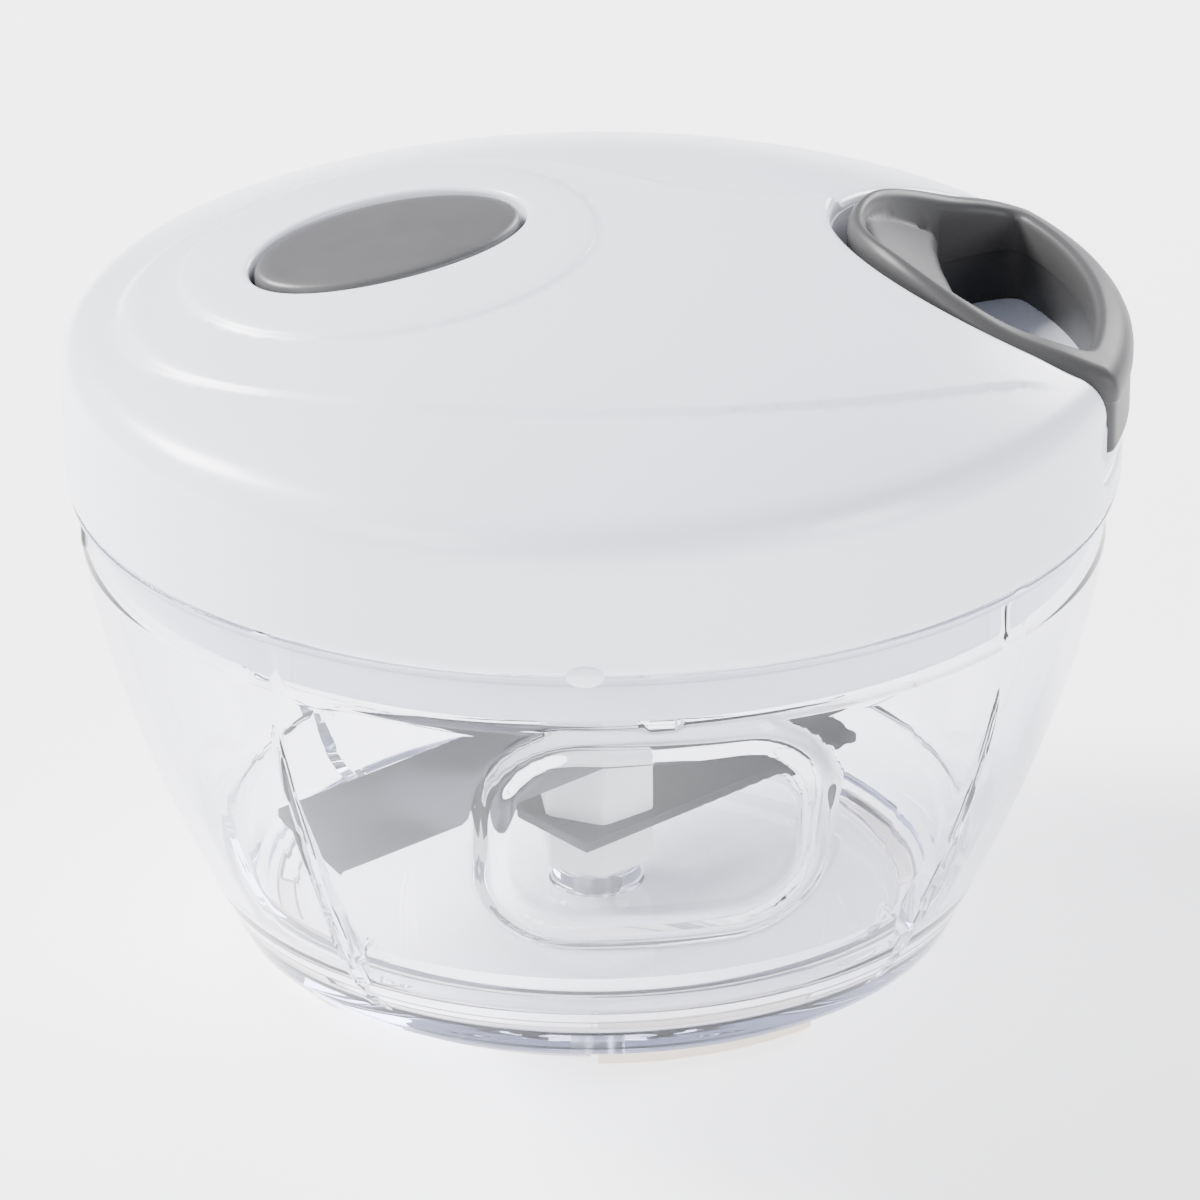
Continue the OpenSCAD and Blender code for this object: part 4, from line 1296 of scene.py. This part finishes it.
class CHOPPER_OT_inner_cover(ChopperOperator, bpy.types.Operator):
    """Inner cover with its collar and bearing, the seal, and the screws"""
    bl_idname = "chopper.inner_cover"
    bl_label = "Inner cover"

    def execute(self, context):
        profile = rounded([
            (8.06, 57.0, 0.3), (11.0, 57.0, 0.8), (11.0, 60.0, 0.8), (54.4, 60.0, 1.6), (54.4, 52.0, 0.6),
            (56.4, 52.0, 0.8), (56.4, 61.0, 0.2), (55.3, 61.0, 0.2), (55.3, 63.5, 0.2), (56.4, 63.5, 0.2),
            (56.4, 65.4, 0.3), (60.1, 65.4, 0.3), (60.1, 66.5, 0.3), (54.4, 66.5, 0.3), (54.4, 62.0, 1.0),
            (11.0, 62.0, 0.8), (11.0, 65.0, 0.3), (8.06, 65.0, 0.3)], 3)
        ribs = []
        for k in range(8):
            a = math.radians(22.5 + 45 * k)
            rings = []
            for r in (11.0, 30.0, 54.2):
                rings.append([(r * math.cos(a) - s * math.sin(a), r * math.sin(a) + s * math.cos(a), z)
                              for s, z in ((-0.7, 59.0), (0.7, 59.0), (0.7, 60.2), (-0.7, 60.2))])
            ribs.append(loft(rings))
        make_piece("inner_cover_moulding", joined(lathe(profile, 240), *ribs), plain("white_gloss_plastic"), "lid",
                   ["inner_cover"], sharp=35)
        seal = rounded([(55.4, 61.1, 0.3), (56.3, 61.1, 0.3), (57.0, 61.9, 0.3), (57.0, 62.6, 0.3), (56.3, 63.4, 0.3),
                        (55.4, 63.4, 0.3)], 3)
        make_piece("seal_ring", lathe(seal, 240), plain("seal_silicone"), "seal",
                   ["lid_seal"], sharp=35)
        head = make_piece("screw_pattern", self.screw(), plain("drawn_steel"), "lid", sharp=30)
        grown("cover_screws", ring_tree(), {
            "Shape": head, "Count": 6, "Radius": 0.047, "Height": 0.0, "Skip": 3, "Material": plain("drawn_steel")},
            "lid", ["lid_screws"])
        bpy.data.objects.remove(head)
        return {"FINISHED"}

    def screw(self):
        """Pan head with a cross recess made of a notched outline, and its shank."""
        rings = []
        count = 48
        for r, z in ((1.25, 73.0), (1.3, 72.4), (1.3, 60.6), (2.8, 60.6), (2.8, 59.4), (2.4, 58.8), (1.9, 58.6)):
            rings.append([(r * math.cos(2 * math.pi * k / count), r * math.sin(2 * math.pi * k / count), z)
                          for k in range(count)])
        for reach, z in ((1.5, 58.6), (1.3, 59.7)):
            ring = []
            for k in range(count):
                a = 2 * math.pi * k / count
                arm = abs(math.cos(2 * a)) ** 6
                r = 0.35 + (reach - 0.35) * arm
                ring.append((r * math.cos(a), r * math.sin(a), z))
            rings.append(ring)
        return loft(rings)


class CHOPPER_OT_cord(ChopperOperator, bpy.types.Operator):
    """Pull cord: the turns on the drum, the run to the eyelet, the lead and its knot"""
    bl_idname = "chopper.cord"
    bl_label = "Pull cord"

    def execute(self, context):
        wire = coil_tree()
        grown("cord_turns", wire, {
            "Radius": DRUM_RADIUS * MM, "Rise": 0.0046, "Turns": 2.6, "Wire": 0.00108,
            "Place": (0.0, 0.0, (CORD_Z - 2.3) * MM), "Lean": (0.0, 0.0, 0.0), "Material": plain("braided_cord")},
            "reel", ["wound_cord"])
        leave = math.acos(DRUM_RADIUS / 28.5)
        start = np.array([DRUM_RADIUS * math.cos(leave), -DRUM_RADIUS * math.sin(leave), CORD_Z])
        stop = np.array([26.2, -1.5, CORD_Z])
        make_piece("cord_run", self.tube(start, stop, 12), plain("braided_cord"), "lid", ["cord_inner_run"])
        lead = make_piece("cord_to_handle", self.tube(np.array([26.1, 0, CORD_Z]), np.array([34.9, 0, CORD_Z]), 40),
                          plain("braided_cord"), "lid")
        lead.parent = None
        del lead["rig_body"]
        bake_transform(lead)
        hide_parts("cord_lead")
        make_piece("tied_knot", self.knot(), plain("braided_cord"), "handle", ["cord_knot"])
        return {"FINISHED"}

    def tube(self, start, stop, rows, sides=20):
        """A straight cord with faint strands."""
        along = (stop - start) / np.linalg.norm(stop - start)
        side = np.cross(along, (0, 0, 1.0))
        side /= np.linalg.norm(side)
        up = np.cross(side, along)
        rings = []
        for k in range(rows + 1):
            at = start + (stop - start) * k / rows
            rings.append([at + CORD_RADIUS * (1 + 0.03 * math.cos(6 * a)) * (math.cos(a) * side + math.sin(a) * up)
                          for a in np.linspace(0, 2 * math.pi, sides, endpoint=False)])
        return loft(rings)

    def knot(self):
        """Three turns of cord pulled into a ball."""
        rings = []
        count, turns = 96, 3
        for k in range(count):
            t = 2 * math.pi * k / count
            wide = 1.25 + 0.35 * math.cos(turns * t)
            centre = np.array([37 + 0.75 * math.sin(turns * t), wide * math.cos(2 * t),
                               CORD_Z + wide * math.sin(2 * t)])
            rings.append(centre)
        rings = np.array(rings)
        out = []
        for k in range(count + 1):
            here, there = rings[k % count], rings[(k + 1) % count]
            along = (there - here) / np.linalg.norm(there - here)
            side = np.cross(along, (1.0, 0, 0))
            side /= np.linalg.norm(side)
            up = np.cross(side, along)
            out.append([here + 0.62 * (math.cos(a) * side + math.sin(a) * up)
                        for a in np.linspace(0, 2 * math.pi, 12, endpoint=False)])
        return loft(out, caps=False)


class CHOPPER_OT_springs(ChopperOperator, bpy.types.Operator):
    """Coil spring under the button"""
    bl_idname = "chopper.springs"
    bl_label = "Button spring"

    def execute(self, context):
        surface = LidSurface(sizes())
        middle = float(surface.dome(-BUTTON_X))
        below = 5.0
        place = (BUTTON_X + below * math.sin(BUTTON_LEAN), BUTTON_Y, middle - below * math.cos(BUTTON_LEAN))
        grown("button_coil", coil_tree(), {
            "Radius": 0.004, "Rise": 0.0038, "Turns": 4.5, "Wire": 0.0003, "Place": tuple(c * MM for c in place),
            "Lean": (0.0, -BUTTON_LEAN, 0.0), "Material": plain("tempered_spring_wire")},
            "lid", ["button_spring"])
        return {"FINISHED"}


class CHOPPER_OT_works(ChopperOperator, bpy.types.Operator):
    """Finishes of the reel, axle and other pieces inside the lid"""
    bl_idname = "chopper.works"
    bl_label = "Works inside the lid"

    def execute(self, context):
        for look, names in (
                ("moulded_white_nylon", ("cord_reel", "spring_cover", "thrust_washer")),
                ("white_gloss_plastic", ("button_seat",)), ("moulded_grey_nylon", ("drive_socket", "cord_eyelet")),
                ("drawn_steel", ("reel_axle",)), ("tempered_spring_wire", ("power_spring",)),
                ("turned_brass", ("reel_bush",))):
            for name in names:
                mesh = frame["nodes"][name].data
                mesh.materials.clear()
                mesh.materials.append(plain(look))
        return {"FINISHED"}


class CHOPPER_PT_panel(bpy.types.Panel):
    """Sidebar panel that lists the sizes, colours and building steps"""
    bl_idname = "CHOPPER_PT_panel"
    bl_label = "Food chopper"
    bl_space_type = "VIEW_3D"
    bl_region_type = "UI"
    bl_category = "Chopper"

    def draw(self, context):
        layout = self.layout
        for group, held in (("Sizes", context.scene.chopper_sizes), ("Colours", context.scene.chopper_colours)):
            box = layout.box()
            box.label(text=group)
            for key in type(held).__annotations__:
                box.prop(held, key)
        for step in STEPS:
            layout.operator(step.bl_idname)


STEPS = (CHOPPER_OT_stage, CHOPPER_OT_bowl, CHOPPER_OT_pad, CHOPPER_OT_blades, CHOPPER_OT_lid, CHOPPER_OT_tray,
         CHOPPER_OT_handle, CHOPPER_OT_button, CHOPPER_OT_inner_cover, CHOPPER_OT_cord, CHOPPER_OT_springs,
         CHOPPER_OT_works)
CLASSES = (ChopperSizes, ChopperColours, *STEPS, CHOPPER_PT_panel)


def register():
    for held in CLASSES:
        bpy.utils.register_class(held)
    bpy.types.Scene.chopper_sizes = bpy.props.PointerProperty(type=ChopperSizes)
    bpy.types.Scene.chopper_colours = bpy.props.PointerProperty(type=ChopperColours)


def unregister():
    del bpy.types.Scene.chopper_colours
    del bpy.types.Scene.chopper_sizes
    for held in reversed(CLASSES):
        bpy.utils.unregister_class(held)


def main():
    register()
    for step in STEPS:
        group, name = step.bl_idname.split(".")
        getattr(getattr(bpy.ops, group), name)()


if __name__ == "__main__":
    main()
